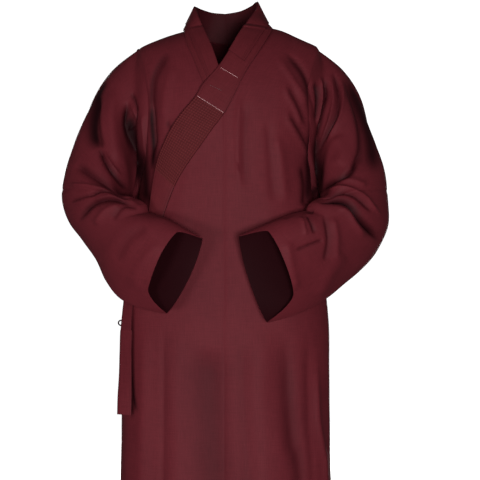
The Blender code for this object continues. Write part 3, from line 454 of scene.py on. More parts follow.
# The fronts. The right front lies next to the body and runs on below the outer one. The left
# front is seamed down the centre front to the overlap, which closes to the wearer's right side.
# Both are the backs' cloth, cut away along the collar and turned up at the hem.
OUTER_LIFT = 0.0098       # outer front above the inner one
SKIRT_LIFT = 0.0090       # how much further it stands off in the skirt
SKIRT_START = 9.3         # level at which it begins to stand off further
SIDE_LIFT_SHARE = 0.40    # share of this that is left at the wearer's right side
LIFT_IN = 2.2             # levels below the shoulder line over which the lift sets in
LIFT_IN_LEFT = 1.0        # how many more at the left shoulder's outer end
LEFT_SHOULDER = (0.118, 0.050)  # where that begins across, and over what width
RIGHT_EASE = (-86.0, 30.0)  # angle from which the lift rises again, and over how many degrees
LEFT_EASE = (89.0, 24.0)  # angle at which it has run out, and over how many degrees
UNDERLAP = 0.010          # how far a front runs on below the collar band
NECK_UNDERLAP = 0.003
OVERLAP_SIDE = -84.0      # angle at which the overlap ends
INNER_SIDE = 62.0         # and the inner front, below the outer one
CLOSING_LEVEL = 8.6       # level below which the fronts no longer follow the collar
BAND_EASE = 0.020         # distance beside a band over which the folds set in
BANDS_END = -0.44         # height below which the bands no longer smooth the cloth
NECK_REACH = 0.085        # how far right of the outer band the inner one begins to count
# Lines along which the collar's lower edges are sewn, as seen from the front.
# Columns: across, height
OUTER_SEAM = (
    (0.0955, 0.004), (0.0950, -0.012), (0.0737, -0.0487), (0.0446, -0.0926), (0.0262, -0.1285),
    (0.0100, -0.1630), (0.0000, -0.1795), (-0.0200, -0.2057), (-0.0423, -0.2380),
    (-0.0665, -0.2722), (-0.0907, -0.3125), (-0.1128, -0.3648), (-0.1310, -0.4430),
)
INNER_SEAM = (
    (-0.0855, 0.006), (-0.0835, -0.010), (-0.0780, -0.0320), (-0.0700, -0.0500),
    (-0.0446, -0.1130), (-0.0150, -0.1750), (0.0200, -0.2350), (0.0600, -0.3000),
    (0.0950, -0.3700), (0.1150, -0.4400),
)
# Folds of the front, as the back's.
FRONT_FOLDS = (
    # These three rows are almost only painted shade: the tie's painted shadow beside it, then painted shade
    # at the right and left armpits.
    ((-193.5, -560, -192.5, -640, -190.5, -720, -186, -800), 5, 4, -1, 2.0, 0.85),
    ((-176, -190, -168, -264, -162, -312, -156, -370), 12, 10, -1, 1.6, 0.90),
    ((178, -200, 172, -264, 170, -312, 168, -370), 9, 12, -1, 1.6, 0.85),
    ((-114, -46, -131, -72, -145, -104, -149, -140, -149, -176), 6, 9, -6, 1.5, 0.45),
    ((-149, -148, -149, -192, -145, -237, -145, -265, -149, -297), 5, 7, -13, 1.4, 0.90),
    ((-120, -194, -108, -210, -122, -243), 3, 4, -4, 1.5, 0.35),
    ((-84, -52, -70, -84, -50, -120), 5, 6, 2, 1.6, 0.0),
    ((-106, -76, -120, -132, -124, -188), 10, 12, 3.5, 1.8, 0.0),
    ((-127, -252, -131, -333, -129, -381), 8, 10, 3, 1.8, 0.0),
    ((30, -146, 26, -188, 26, -253, 28, -343), 3, 5, 3.6, 1.5, 0.0),
    ((44, -160, 40, -233, 42, -333), 8, 10, -3, 1.8, 0.10),
    ((104, -66, 127, -100, 151, -136, 163, -154), 4, 5, 4.2, 1.5, 0.0),
    ((114, -124, 135, -162, 151, -202), 4, 5, 4, 1.5, 0.0),
    ((127, -124, 147, -162, 161, -200), 6, 7, -4, 1.7, 0.22),
    ((116, -180, 137, -212, 155, -245, 157, -273), 4, 5, 4.5, 1.5, 0.0),
    ((127, -176, 149, -212, 165, -249, 167, -297), 6, 6, -4.5, 1.6, 0.30),
    ((100, -224, 110, -273, 120, -363), 8, 10, 3.4, 1.8, 0.0),
    ((86, -192, 90, -273, 98, -363), 8, 10, -2.6, 2.0, 0.08),
    ((153, -281, 159, -323, 157, -369), 6, 7, -6, 1.6, 0.45),
    ((120, -52, 149, -82, 165, -112, 173, -148, 177, -188), 7, 5, -6, 1.4, 0.55),
    ((177, -184, 181, -233, 179, -293, 175, -361), 4, 8, -12, 1.3, 0.85),
    ((-30, -644, -28, -714, -26, -795, -18, -915, -10, -1270), 34, 30, -8, 2.0, 0.22),
    ((70, -594, 70, -694, 72, -795, 78, -915, 84, -1270), 26, 28, 6, 2.0, 0.0),
    ((118, -614, 124, -755, 131, -839, 147, -915, 158, -1270), 14, 16, -6.5, 1.8, 0.25),
    ((175, -654, 175, -755, 177, -805, 185, -861, 190, -915, 196, -1270), 5, 6, 6, 1.5, 0.0),
    ((161, -614, 159, -714, 161, -805, 169, -915, 176, -1270), 7, 8, -3, 1.7, 0.10),
    ((-118, -594, -118, -755, -120, -915, -124, -1270), 4, 8, -2.6, 1.4, 0.12),
    ((-94, -594, -92, -755, -90, -915, -92, -1270), 18, 16, 4, 2.0, 0.0),
    ((-151, -594, -153, -755, -157, -915, -164, -1270), 14, 16, 5, 1.8, 0.0),
    # The hollow beside the tie, darkened by the tie's painted shadow.
    ((-189, -566, -189, -670, -185, -741, -177, -783), 3, 4, -5, 1.5, 0.85),
    ((32, -614, 36, -755, 44, -915, 50, -1270), 12, 14, -3, 1.8, 0.08),
)


def level_at(across, height):
    """Level of the front at a place seen from the front, by looking up its height."""
    levels = np.linspace(0.0, HEM_LEVEL, 900)
    centre_z, drop, centre_x, half, _, _ = np.moveaxis(rows_at(BODY_LEVELS, levels), -1, 0)
    found = []
    for x, z in zip(np.ravel(across), np.ravel(height)):
        heights = centre_z - drop * np.minimum(np.abs((x - centre_x) / half), 1.0) ** 2
        found.append(np.interp(-z, -heights, levels))
    return np.reshape(found, np.shape(across))


def angle_at(level, across):
    """Angle on the front of a level at a place across: arcsin(ratio^(ROUNDNESS / 2))."""
    _, _, centre_x, half, _, _ = np.moveaxis(rows_at(BODY_LEVELS, level), -1, 0)
    ratio = np.clip((across - centre_x) / half, -1.0, 1.0)
    return np.degrees(np.arcsin(np.sign(ratio) * np.abs(ratio) ** (ROUNDNESS / 2.0)))


def seam_angle(level, seam, side):
    """Angle at which each level crosses a collar seam, moved to the panel's edge below it."""
    seam = np.asarray(seam)
    angles = np.linspace(-90.0, 90.0, 721)
    found = []
    for one in np.ravel(level):
        points = body_base(np.full(angles.shape, one), angles)
        under = NECK_UNDERLAP + (UNDERLAP - NECK_UNDERLAP) * smooth_step((-0.03 - points[:, 2]) / 0.07)
        line = np.interp(-points[:, 2], -seam[:, 1], seam[:, 0]) + side * under
        found.append(np.interp(0.0, points[:, 0] - line, angles))
    return np.reshape(found, np.shape(level))


def beside_bands(across, height):
    """1 beside the collar bands and 0 below them, where the doubled cloth lies smooth."""
    outer = np.asarray(OUTER_SEAM)
    inner = np.asarray(INNER_SEAM)
    past_outer = across - np.interp(-height, -outer[:, 1], outer[:, 0])
    past_inner = np.interp(-height, -inner[:, 1], inner[:, 0]) - across
    outside_outer = smooth_step((past_outer - MM) / BAND_EASE)
    outside_inner = smooth_step((past_inner - MM) / BAND_EASE)
    neck_side = smooth_step((-NECK_REACH - past_outer) / BAND_EASE)
    below = smooth_step((BANDS_END - height) / 0.05)
    return np.maximum(np.maximum(outside_outer, outside_inner * neck_side), below)


def front_surface(level, angle, lift=0.0):
    """The fronts: the body's form moved out by their lift, the folds and the uneven lie."""
    level, angle, lift = np.broadcast_arrays(np.asarray(level, dtype=float), angle, lift)
    points = body_base(level, angle)
    across, height = points[..., 0], points[..., 2]
    folds = fold_forms(across, height, FRONT_FOLDS)[0]
    folds = folds + MM * WAVES * (0.8 * uneven(across, height, 0.038, 0.15, 7)
                                  + 0.4 * uneven(across, height, 0.019, 0.07, 8))
    fade = smooth_step(np.abs(np.cos(np.radians(angle))) / SIDE_FADE) * smooth_step(level / SHOULDER_FADE)
    fade = fade * beside_bands(across, height)
    inner = (lift < 0.5 * OUTER_LIFT) & (np.abs(angle) < 88.0)
    fade = np.where(inner, fade * (1.0 - smooth_step((level - CLOSING_LEVEL) / 0.8)), fade)
    return points + base_normals(level, angle) * (lift + folds * fade)[..., None]


def front_lift(level, angle):
    """Lift of the outer front: full over the inner one, none at the shoulder and side seams."""
    full = OUTER_LIFT + SKIRT_LIFT * smooth_step((level - SKIRT_START) / 2.0)
    rise = smooth_step((angle - RIGHT_EASE[0]) / RIGHT_EASE[1])
    right_side = SIDE_LIFT_SHARE + (1.0 - SIDE_LIFT_SHARE) * rise
    left_side = smooth_step((LEFT_EASE[0] - angle) / LEFT_EASE[1])
    begins, wide = LEFT_SHOULDER
    ease = LIFT_IN + LIFT_IN_LEFT * smooth_step((body_base(level, angle)[..., 0] - begins) / wide)
    return full * left_side * smooth_step(level / ease) * right_side


front_rows = panel_rows(84, 210)[:, None]
front_columns = panel_columns(64)[None, :]

level = panel_levels(np.zeros((1, 1)), front_rows)
collar_edge = seam_angle(level, OUTER_SEAM, -1.0)
middle = angle_at(level, np.zeros(level.shape))
inner_edge = np.maximum(collar_edge, middle)
angle = inner_edge + (90.0 - armhole_angle(level, 0) - inner_edge) * front_columns
level = level + np.zeros_like(angle)
piece = panel("cloth_front_left", front_surface, level, angle, ("first", "last"), FRONT_FOLDS,
              front_lift(level, angle))
dress(piece, robe_cloth, "robe_cloth", "front_left")

overlap_top = float(level_at(np.array([0.0]), np.array([OUTER_SEAM[6][1] + 0.004]))[0])
level = panel_levels(np.full((1, 1), overlap_top), front_rows)
middle = angle_at(level, np.zeros(level.shape))
run_out = smooth_step((level - CLOSING_LEVEL) / 1.2)
collar_edge = np.maximum(seam_angle(level, OUTER_SEAM, -1.0), OVERLAP_SIDE)
edge = collar_edge * (1.0 - run_out) + OVERLAP_SIDE * run_out
angle = middle + (edge - middle) * front_columns
level = level + np.zeros_like(angle)
piece = panel("cloth_front_overlap", front_surface, level, angle, ("first",), FRONT_FOLDS,
              front_lift(level, angle))
dress(piece, robe_cloth, "robe_cloth", "front_overlap")

level = panel_levels(np.zeros((1, 1)), front_rows)
run_out = smooth_step(level - CLOSING_LEVEL - 0.2)
inner_edge = np.minimum(seam_angle(level, INNER_SEAM, 1.0), INNER_SIDE)
inner_edge = inner_edge * (1.0 - run_out) + INNER_SIDE * run_out
edge = armhole_angle(level, 0) - 90.0
angle = edge + (inner_edge - edge) * front_columns
level = level + np.zeros_like(angle)
piece = panel("cloth_front_right", front_surface, level, angle, ("first",), FRONT_FOLDS)
dress(piece, robe_cloth, "robe_cloth", "front_right")

# The sleeves. The upper part of each is sewn to the armhole, and the wide lower part is joined
# on above the bend and ends in an open cuff with a narrow turned hem. Each is bent forward, so
# the cloth breaks into deep folds at the end of the armhole and in the crook of the bend.
JOIN_RING = 4.6           # ring at which the lower part is joined on
CUFF_SLANT = 1.0          # how far, in rings, the cuff's front edge is drawn back
CUFF_EASE = 0.6           # sine of the turn from which it is drawn back in full
FOLDS_IN = 0.25           # rings from the armhole over which the folds set in
CLEAR_IN = 0.8            # rings over which the sleeve begins to keep clear of the body
CLEAR_SIDE = (0.35, 0.9)  # cosine of the turn from which it does, and over how much
BODY_CLEARANCE = 0.012    # the sleeves stay this far off the body
BACK_PINCH = 0.45         # how much flatter their back is towards the inner end
INNER_SLEEVE_SHADE = 0.92  # how dark the painted shade on the sleeves' inner face is
BACK_SHADE = 0.5          # how dark the painted shade in the back halves' folds is beside the front's
SLEEVE_TURNS = 200        # points round a sleeve
SLEEVE_ROWS = 120         # rows of points along each of its two parts
RING_SPACING = 0.045      # usual distance between two rings
HALF_EDGE = 0.35          # sine of the turn over which the folds of a half set in
# Rings of a sleeve. A ring's chord runs from its outer end (shoulder, bend, lower edge) to its
# inner end (armhole's end, crook, upper edge). Columns: outer end x, y, z, inner end x, y, z,
# front bulge, back bulge, and where along the chord the ring is fullest
RIGHT_RINGS = (
    (-0.232, 0.008, -0.078, -0.196, -0.004, -0.354, 0.056, 0.062, 0.44),
    (-0.276, 0.013, -0.140, -0.196, -0.036, -0.352, 0.065, 0.065, 0.42),
    (-0.301, 0.018, -0.224, -0.192, -0.078, -0.354, 0.066, 0.068, 0.42),
    (-0.319, 0.018, -0.308, -0.180, -0.112, -0.350, 0.062, 0.064, 0.44),
    (-0.328, 0.010, -0.354, -0.168, -0.131, -0.354, 0.058, 0.058, 0.46),
    (-0.312, -0.005, -0.400, -0.159, -0.139, -0.362, 0.056, 0.052, 0.50),
    (-0.290, -0.025, -0.437, -0.153, -0.146, -0.377, 0.053, 0.045, 0.56),
    (-0.263, -0.050, -0.474, -0.145, -0.153, -0.380, 0.050, 0.040, 0.60),
    (-0.242, -0.080, -0.517, -0.133, -0.162, -0.384, 0.047, 0.036, 0.64),
    (-0.210, -0.115, -0.552, -0.110, -0.175, -0.392, 0.042, 0.033, 0.66),
    (-0.161, -0.155, -0.571, -0.077, -0.192, -0.410, 0.036, 0.030, 0.66),
    (-0.114, -0.190, -0.579, -0.043, -0.207, -0.429, 0.028, 0.026, 0.60),
)
LEFT_RINGS = (
    (0.244, 0.008, -0.078, 0.195, -0.004, -0.356, 0.056, 0.062, 0.44),
    (0.285, 0.013, -0.140, 0.195, -0.034, -0.356, 0.065, 0.062, 0.42),
    (0.304, 0.018, -0.224, 0.196, -0.078, -0.354, 0.066, 0.066, 0.42),
    (0.317, 0.018, -0.303, 0.188, -0.112, -0.350, 0.062, 0.064, 0.44),
    (0.327, 0.010, -0.366, 0.179, -0.131, -0.354, 0.058, 0.058, 0.46),
    (0.327, -0.005, -0.417, 0.171, -0.139, -0.361, 0.056, 0.052, 0.50),
    (0.311, -0.025, -0.458, 0.164, -0.146, -0.374, 0.053, 0.045, 0.56),
    (0.279, -0.050, -0.495, 0.154, -0.153, -0.376, 0.050, 0.040, 0.60),
    (0.244, -0.080, -0.523, 0.139, -0.162, -0.380, 0.047, 0.036, 0.64),
    (0.202, -0.115, -0.554, 0.111, -0.175, -0.390, 0.042, 0.033, 0.66),
    (0.146, -0.155, -0.581, 0.073, -0.192, -0.406, 0.036, 0.030, 0.66),
    (0.085, -0.190, -0.597, 0.029, -0.207, -0.425, 0.028, 0.026, 0.60),
)
# Folds of the sleeves' front halves, as seen from the front.
RIGHT_SLEEVE_FOLDS = (
    ((-260, -133, -262, -173, -258, -212, -246, -249), 10, 5, -9, 1.4, 0.50),
    ((-198, -170, -192, -203, -174, -264, -162, -312, -158, -360), 12, 12, -6, 1.6, 0.95),
    # Mostly painted shade: the outer upper sleeve, darker where it turns from the light.
    ((-248, -98, -262, -130, -268, -200, -256, -250), 16, 8, -3, 1.8, 0.95),
    ((-256, -242, -240, -277, -217, -307, -189, -334), 5, 4, -7.5, 1.3, 0.60),
    ((-246, -251, -231, -279, -211, -305), 3, 3, 3.5, 1.5, 0.0),
    ((-201, -149, -201, -194, -189, -234, -177, -271), 6, 7, -12, 1.3, 0.85),
    ((-183, -247, -171, -295, -164, -332, -160, -364), 10, 12, -18, 1.5, 0.95),
    ((-193, -129, -181, -157, -175, -175), 3, 4, -5, 1.4, 0.50),
    ((-197, -149, -187, -169, -179, -188), 3, 3, 4.5, 1.5, 0.0),
    ((-175, -173, -185, -194, -199, -206), 3, 3, -5, 1.4, 0.60),
    ((-229, -117, -233, -180, -227, -234, -213, -281), 12, 12, 6, 2.0, 0.0),
    ((-164, -173, -162, -220, -160, -267), 5, 5, 6, 1.5, 0.0),
    ((-307, -279, -274, -301, -229, -326, -193, -342), 7, 9, -8.5, 1.4, 0.45),
    ((-319, -320, -270, -324, -213, -340), 5, 5, 4.5, 1.6, 0.0),
    ((-278, -346, -248, -334, -217, -338, -187, -352), 3, 4, -6, 1.4, 0.50),
    ((-266, -356, -233, -344, -201, -352), 4, 4, 4, 1.5, 0.0),
    ((-300, -399, -274, -368, -248, -354, -217, -352, -177, -366), 6, 6, -9, 1.4, 0.60),
    ((-319, -356, -286, -346, -258, -338), 3, 4, -4, 1.4, 0.30),
    ((-225, -395, -201, -366, -171, -370), 5, 7, -3.5, 1.6, 0.20),
    ((-262, -405, -238, -374, -209, -362), 7, 8, 4.5, 1.7, 0.0),
    ((-217, -478, -193, -433, -152, -405), 12, 14, -3.5, 1.8, 0.10),
    ((-189, -531, -160, -478, -126, -437), 14, 14, 3.5, 2.0, 0.0),
)
LEFT_SLEEVE_FOLDS = (
    ((185, -109, 189, -145, 181, -190), 4, 4, -8, 1.3, 0.80),
    ((195, -96, 199, -145, 189, -202), 4, 4, 6, 1.5, 0.0),
    ((203, -96, 209, -133, 201, -167, 193, -206, 187, -236), 4, 4, -8, 1.3, 0.65),
    ((217, -92, 223, -139, 215, -186, 199, -226, 187, -255), 4, 5, 5.5, 1.5, 0.0),
    ((223, -80, 233, -113, 235, -149, 225, -188, 199, -234, 183, -271), 6, 3, -7, 1.3, 0.50),
    ((242, -100, 242, -149, 231, -190, 205, -236), 3, 5, 4.5, 1.5, 0.0),
    ((189, -206, 185, -251, 187, -291, 183, -324, 179, -360), 6, 10, -16, 1.4, 0.95),
    ((248, -96, 268, -157, 278, -214, 274, -257, 258, -291), 6, 14, -8, 1.5, 0.50),
    ((276, -251, 260, -291, 235, -309, 209, -320, 187, -334), 6, 5, -10, 1.4, 0.70),
    ((225, -220, 238, -251, 229, -283), 12, 14, 5, 2.0, 0.0),
    # Mostly painted shade: the outer upper sleeve, darker where it turns from the light.
    ((252, -90, 284, -160, 303, -230, 304, -300), 18, 14, -3, 1.8, 0.75),
    ((189, -346, 227, -328, 260, -332, 286, -346, 302, -366, 321, -387), 4, 4, 5.5, 1.4, 0.0),
    ((189, -354, 227, -338, 258, -342, 280, -358, 298, -378), 4, 4, -6, 1.4, 0.45),
    ((213, -318, 254, -312, 290, -324), 6, 7, 4, 1.6, 0.0),
    ((185, -358, 221, -354, 250, -362, 272, -391, 298, -417, 323, -437), 5, 7, -15, 1.3, 0.90),
    ((225, -368, 248, -378, 266, -405, 286, -429), 6, 7, 5, 1.6, 0.0),
    ((114, -391, 148, -374, 181, -376), 3, 4, -6, 1.3, 0.80),
    ((164, -381, 173, -401, 179, -421), 3, 4, -4.5, 1.4, 0.45),
    ((152, -385, 158, -405, 162, -425), 4, 4, 3, 1.6, 0.0),
    ((199, -381, 207, -433, 199, -478), 4, 6, -4.5, 1.5, 0.30),
    ((217, -385, 225, -433, 221, -478), 7, 8, 4, 1.7, 0.0),
    ((140, -454, 173, -441, 197, -433), 3, 3, -3.5, 1.4, 0.35),
    ((104, -450, 110, -498, 120, -543), 5, 7, -4, 1.6, 0.20),
    ((124, -433, 132, -482, 144, -535), 9, 10, 4, 1.8, 0.0),
    ((75, -441, 83, -498, 95, -555), 7, 8, 3, 1.8, 0.0),
    ((242, -458, 213, -498, 189, -551), 14, 14, 4.5, 2.0, 0.0),
)
# And of their back halves.
RIGHT_SLEEVE_BACK_FOLDS = (
    ((-220, -110, -215, -190, -205, -280), 8, 12, -10, 1.4, 0.60),
    ((-300, -220, -280, -300, -240, -350), 8, 10, -8, 1.4, 0.50),
    ((-320, -370, -270, -400, -220, -400), 8, 10, -8, 1.4, 0.50),
    ((-262, -140, -258, -220, -236, -300), 6, 8, 5.5, 1.7, 0.0),
    ((-310, -330, -262, -360, -212, -366), 5, 6, 5, 1.5, 0.0),
    ((-316, -310, -270, -340, -215, -345), 4, 5, -5, 1.4, 0.40),
    ((-300, -430, -260, -440, -210, -430), 6, 8, 4, 1.6, 0.0),
)
LEFT_SLEEVE_BACK_FOLDS = (
    ((225, -110, 222, -190, 210, -280), 12, 8, -10, 1.4, 0.60),
    ((296, -210, 276, -290, 244, -340), 10, 8, -8, 1.4, 0.50),
    ((322, -380, 275, -415, 220, -410), 8, 10, -8, 1.4, 0.50),
    ((264, -150, 260, -230, 240, -310), 8, 6, 5.5, 1.7, 0.0),
    ((312, -340, 262, -372, 214, -374), 5, 6, 5, 1.5, 0.0),
    ((310, -318, 264, -348, 218, -350), 4, 5, -5, 1.4, 0.40),
    ((304, -440, 262, -452, 212, -440), 6, 8, 4, 1.6, 0.0),
)


def clear_of_body(points):
    """Points of a sleeve pushed off the body's outer face where they would touch it."""
    level = np.interp(-points[..., 2], [-row[0] for row in BODY_LEVELS], range(len(BODY_LEVELS)))
    _, _, centre_x, half, front, back = np.moveaxis(rows_at(BODY_LEVELS, level), -1, 0)
    half = half + BODY_CLEARANCE
    depth = np.where(points[..., 1] < 0.0, front + OUTER_LIFT, back) + BODY_CLEARANCE
    across = points[..., 0] - centre_x
    ratio = (np.abs(across / half) ** ROUNDNESS + np.abs(points[..., 1] / depth) ** ROUNDNESS)
    push = np.maximum(1.0 / np.maximum(ratio ** (1.0 / ROUNDNESS), 0.2), 1.0)
    moved = points.copy()
    moved[..., 0] = centre_x + across * push
    moved[..., 1] = points[..., 1] * push
    return moved


def sleeve_rings(rings, side, turns):
    """Rings of a sleeve at turns round it: 0 at the outer end of the chord, 90 at the front,
    180 at the inner end. The first ring is the armhole. The others are the chord, fullest where
    the table says, plus sin(turn) * bulge across it."""
    turn = np.radians(turns)
    part = (1.0 - np.cos(turn)) / 2.0
    level = ARMPIT_LEVEL * part
    to_front = 90.0 - armhole_angle(level, 0)
    to_back = 90.0 + armhole_angle(level, 1)
    lift = front_lift(level, to_front) if side > 0.0 else np.zeros(level.shape)
    at_front = (np.sin(turn) > 0.0)[:, None]
    armhole = np.where(at_front, front_surface(level, side * to_front, lift),
                       back_surface(level, side * to_back))
    sewn = np.where(at_front, base_normals(level, side * to_front), base_normals(level, side * to_back))
    loops = [armhole - SEAM_DEPTH * sewn]
    table = np.asarray(rings)
    middle = 0.5 * (table[:, 0:3] + table[:, 3:6])
    for index, row in enumerate(table):
        chord = row[3:6] - row[0:3]
        path = middle[min(index + 1, len(table) - 1)] - middle[max(index - 1, 0)]
        facing = unit(np.cross(path, chord))
        facing = facing * (1.0 if facing[1] < 0.0 else -1.0)
        fill = math.log(0.5) / math.log(row[8])
        bulge = np.sin(turn) * np.where(at_front[:, 0], row[6], row[7] * (1.0 - BACK_PINCH * part))
        loops.append(row[0:3] + (part ** (1.0 / fill))[:, None] * chord + bulge[:, None] * facing)
    return np.stack(loops)


sleeve_turns = np.arange(SLEEVE_TURNS) * 360.0 / SLEEVE_TURNS
shares = np.linspace(0.0, 1.0, SLEEVE_ROWS)[:, None]
sleeve_parts = (("upper", slice(0, SLEEVE_ROWS), (0.43, 0.29)),
                ("lower", slice(SLEEVE_ROWS - 1, None), (0.42, 0.29)))
for side_name, side, rings, front_folds, back_folds in (
        ("right", -1.0, RIGHT_RINGS, RIGHT_SLEEVE_FOLDS, RIGHT_SLEEVE_BACK_FOLDS),
        ("left", 1.0, LEFT_RINGS, LEFT_SLEEVE_FOLDS, LEFT_SLEEVE_BACK_FOLDS)):
    loops = sleeve_rings(rings, side, sleeve_turns)
    to_front = np.sin(np.radians(sleeve_turns))
    ends = len(rings) - CUFF_SLANT * smooth_step(to_front / CUFF_EASE)
    upper = JOIN_RING * shares + np.zeros((1, SLEEVE_TURNS))
    place = np.concatenate((upper[:-1], JOIN_RING + (ends - JOIN_RING) * shares))
    points = np.empty(place.shape + (3,))
    for column in range(SLEEVE_TURNS):
        points[:, column] = rows_at(loops[:, column], place[:, column])
    outward = grid_normals(points, True) * -side
    x, z = points[..., 0], points[..., 2]
    front = smooth_step(to_front / HALF_EDGE)[None, :]
    back = smooth_step(-to_front / HALF_EDGE)[None, :]
    front_form, front_painted_shade = fold_forms(x, z, front_folds)
    back_form, back_painted_shade = fold_forms(x, z, back_folds)
    folds = front_form * front + back_form * back
    folds = folds + MM * WAVES * (uneven(place, z, 1.3, 0.05, 9) * (front + back))
    folds = folds * smooth_step(place / FOLDS_IN)
    # Painted shade in the folds' troughs, with less of it on the back halves.
    shade = front_painted_shade * front + BACK_SHADE * back_painted_shade * back
    join = np.exp(-(((place - JOIN_RING) * RING_SPACING / SEAM_WIDTH) ** 2)) * SEAM_DEPTH
    points = points + outward * (folds - join)[..., None]
    inner_side = smooth_step((CLEAR_SIDE[0] - np.cos(np.radians(sleeve_turns))) / CLEAR_SIDE[1])
    weight = (smooth_step(place / CLEAR_IN) * inner_side[None, :])[..., None]
    points = points * (1.0 - weight) + clear_of_body(points) * weight
    outward = grid_normals(points, True) * -side
    for part_name, rows, cut in sleeve_parts:
        piece = cloth_shell(f"cloth_sleeve_{part_name}_{side_name}", points[rows], outward[rows], CLOTH,
                            True, shade[rows], INNER_SLEEVE_SHADE)
        dress(piece, robe_cloth, "robe_cloth", f"sleeve_{part_name}_{side_name}")

# The collar is one long band of the robe's cloth, folded over a stiffener and stitched. On the
# left front it lies over the right front's band and crosses the chest. A stretch of it is
# quilted in small squares, and below it a plain end runs down to the side.
BAND = 0.0026             # thickness of the folded band
BAND_LIFT_OUTER = OUTER_LIFT + 0.0045
BAND_LIFT_INNER = 0.0047
NECK_STAND = 0.0020       # how far the lower edge stands off the back and shoulders
SHOULDER_SHARE = 0.12     # share of the band's lift that it has reached on the shoulder
BAND_STEP = 0.0026        # distance between rows of points along a band
LEAST_FORWARD = 0.35      # least forward share of a normal that a lift is divided by
EDGE_ROUND = 0.0011       # how far a folded edge is rounded off
EDGE_WIDTH = 0.0016       # and over what width
FULL_DIP = 0.0014         # depth of relief at which the shade is full
EDGE_SHADE = 0.35         # how dark the painted shade on the bands' edges is
QUILT_SHADE = 0.45        # and in the low places of the quilting
NARROW_SHADE = 0.4        # and on the edges of the guard and the tie
BAND_CRUMPLE = 0.0006     # how unevenly the bands lie
QUILT_START = 11.0        # row of the outer band at which the quilted stretch begins
QUILT_END = 15.6
QUILT_SQUARE = 0.0052     # one stitched square
QUILT_RISE = 0.0010       # how far its middle stands up
EDGE_STITCH = 0.0045      # the edge stitching's distance from the edge
STITCH_DIP = 0.0005       # how deep that stitching draws the cloth in
STITCH_WIDTH = 0.0012
# Upper edges of the bands round the neck. Columns: across, depth, height
OUTER_NECK_EDGE = (
    (0.0000, 0.080, 0.048), (0.0330, 0.071, 0.053), (0.0580, 0.048, 0.062), (0.0670, 0.022, 0.066),
    (0.0665, 0.006, 0.052), (0.0585, -0.010, 0.036), (0.0450, -0.034, 0.015), (0.0275, -0.062, -0.013),
    (0.0115, -0.084, -0.043), (-0.0120, -0.104, -0.081), (-0.0430, -0.122, -0.118),
    (-0.0585, -0.128, -0.144), (-0.0890, -0.131, -0.180), (-0.1085, -0.129, -0.209),
    (-0.1245, -0.124, -0.241), (-0.1360, -0.118, -0.270), (-0.1440, -0.110, -0.304),
    (-0.1500, -0.100, -0.344), (-0.1570, -0.090, -0.404),
)
INNER_NECK_EDGE = (
    (0.0000, 0.080, 0.048), (-0.0300, 0.071, 0.050), (-0.0540, 0.048, 0.055), (-0.0630, 0.022, 0.056),
    (-0.0610, 0.004, 0.048), (-0.0540, -0.022, 0.028), (-0.0410, -0.050, -0.004),
    (-0.0280, -0.072, -0.034), (-0.0180, -0.089, -0.062), (-0.0100, -0.100, -0.085),
    (0.0100, -0.112, -0.126), (0.0420, -0.120, -0.180), (0.0800, -0.122, -0.240),
    (0.1150, -0.117, -0.310), (0.1350, -0.110, -0.400),
)
# Matching points of the lower edges: round the neck by their place across and in depth, and
# then on the seam lines by their height.
OUTER_LOWER_NECK = ((0.0, 0.083), (0.046, 0.074), (0.080, 0.050), (0.0940, 0.022), (0.0975, 0.003))
OUTER_LOWER_HEIGHTS = (
    -0.012, -0.034, -0.058, -0.082, -0.108, -0.155, -0.1795, -0.212, -0.2440, -0.2780, -0.3090,
    -0.3400, -0.3790, -0.4300,
)
INNER_LOWER_NECK = ((0.0, 0.083), (-0.044, 0.074), (-0.074, 0.050), (-0.085, 0.022), (-0.0872, 0.003))
INNER_LOWER_HEIGHTS = (-0.010, -0.034, -0.058, -0.082, -0.108, -0.152, -0.210, -0.270, -0.345, -0.430)


def level_in_plan(across, depth):
    """Level of the body at a place seen from above, near the neck."""
    levels = np.linspace(0.0, 6.0, 400)
    _, _, centre_x, half, front, back = np.moveaxis(rows_at(BODY_LEVELS, levels), -1, 0)
    shape = (1.0 - np.minimum(np.abs((across - centre_x) / half), 1.0) ** ROUNDNESS) ** (1 / ROUNDNESS)
    return float(np.interp(abs(depth), (back if depth > 0.0 else front) * shape, levels))


def band_edges(neck_edge, lower_neck, lower_heights, seam, lift):
    """The two edges of a band, row by row, from the centre back to its lower end."""
    lower = []
    for row, (x, y) in enumerate(lower_neck):
        level = np.array(level_in_plan(x, y))
        to_front = SHOULDER_SHARE * float(smooth_step((row - 1.5) / 2.5))
        angle = float(angle_at(level, x))
        stand = NECK_STAND * (1.0 - to_front) + (lift + NECK_STAND) * to_front + BAND
        surface, angle = (back_surface, 180.0 - angle) if y > 0.0 else (front_surface, angle)
        lower.append(surface(level, angle, stand))
    seam = np.asarray(seam)
    for z in lower_heights:
        x = float(np.interp(-z, -seam[:, 1], seam[:, 0]))
        level = level_at(np.array(x), np.array(z))
        lower.append(front_surface(level, angle_at(level, x), lift))
    return np.array(neck_edge), np.array(lower)


def on_front(across, height, lift):
    """Depth of what is laid on the front at a lift, which is divided by the normal's y, and
    the front's normals there."""
    level = level_at(across, height)
    angle = angle_at(level, across)
    normals = base_normals(np.clip(level, 0.1, HEM_LEVEL), angle)
    lifted = lift / np.minimum(normals[..., 1], -LEAST_FORWARD)
    return body_base(level, angle)[..., 1] + lifted, normals


def band_surface(edges, lift, place, across):
    """A band's outer points: straight across near the neck, and laid on the front below it on
    the chest."""
    upper = rows_at(edges[0], place)[:, None]
    lower = rows_at(edges[1], place)[:, None]
    points = upper + (lower - upper) * across[None, :, None]
    on_chest = smooth_step((place - 4.5) / 3.0)[:, None]
    laid, _ = on_front(points[..., 0], points[..., 2], lift)
    points[..., 1] = points[..., 1] * (1.0 - on_chest) + laid * on_chest
    return points


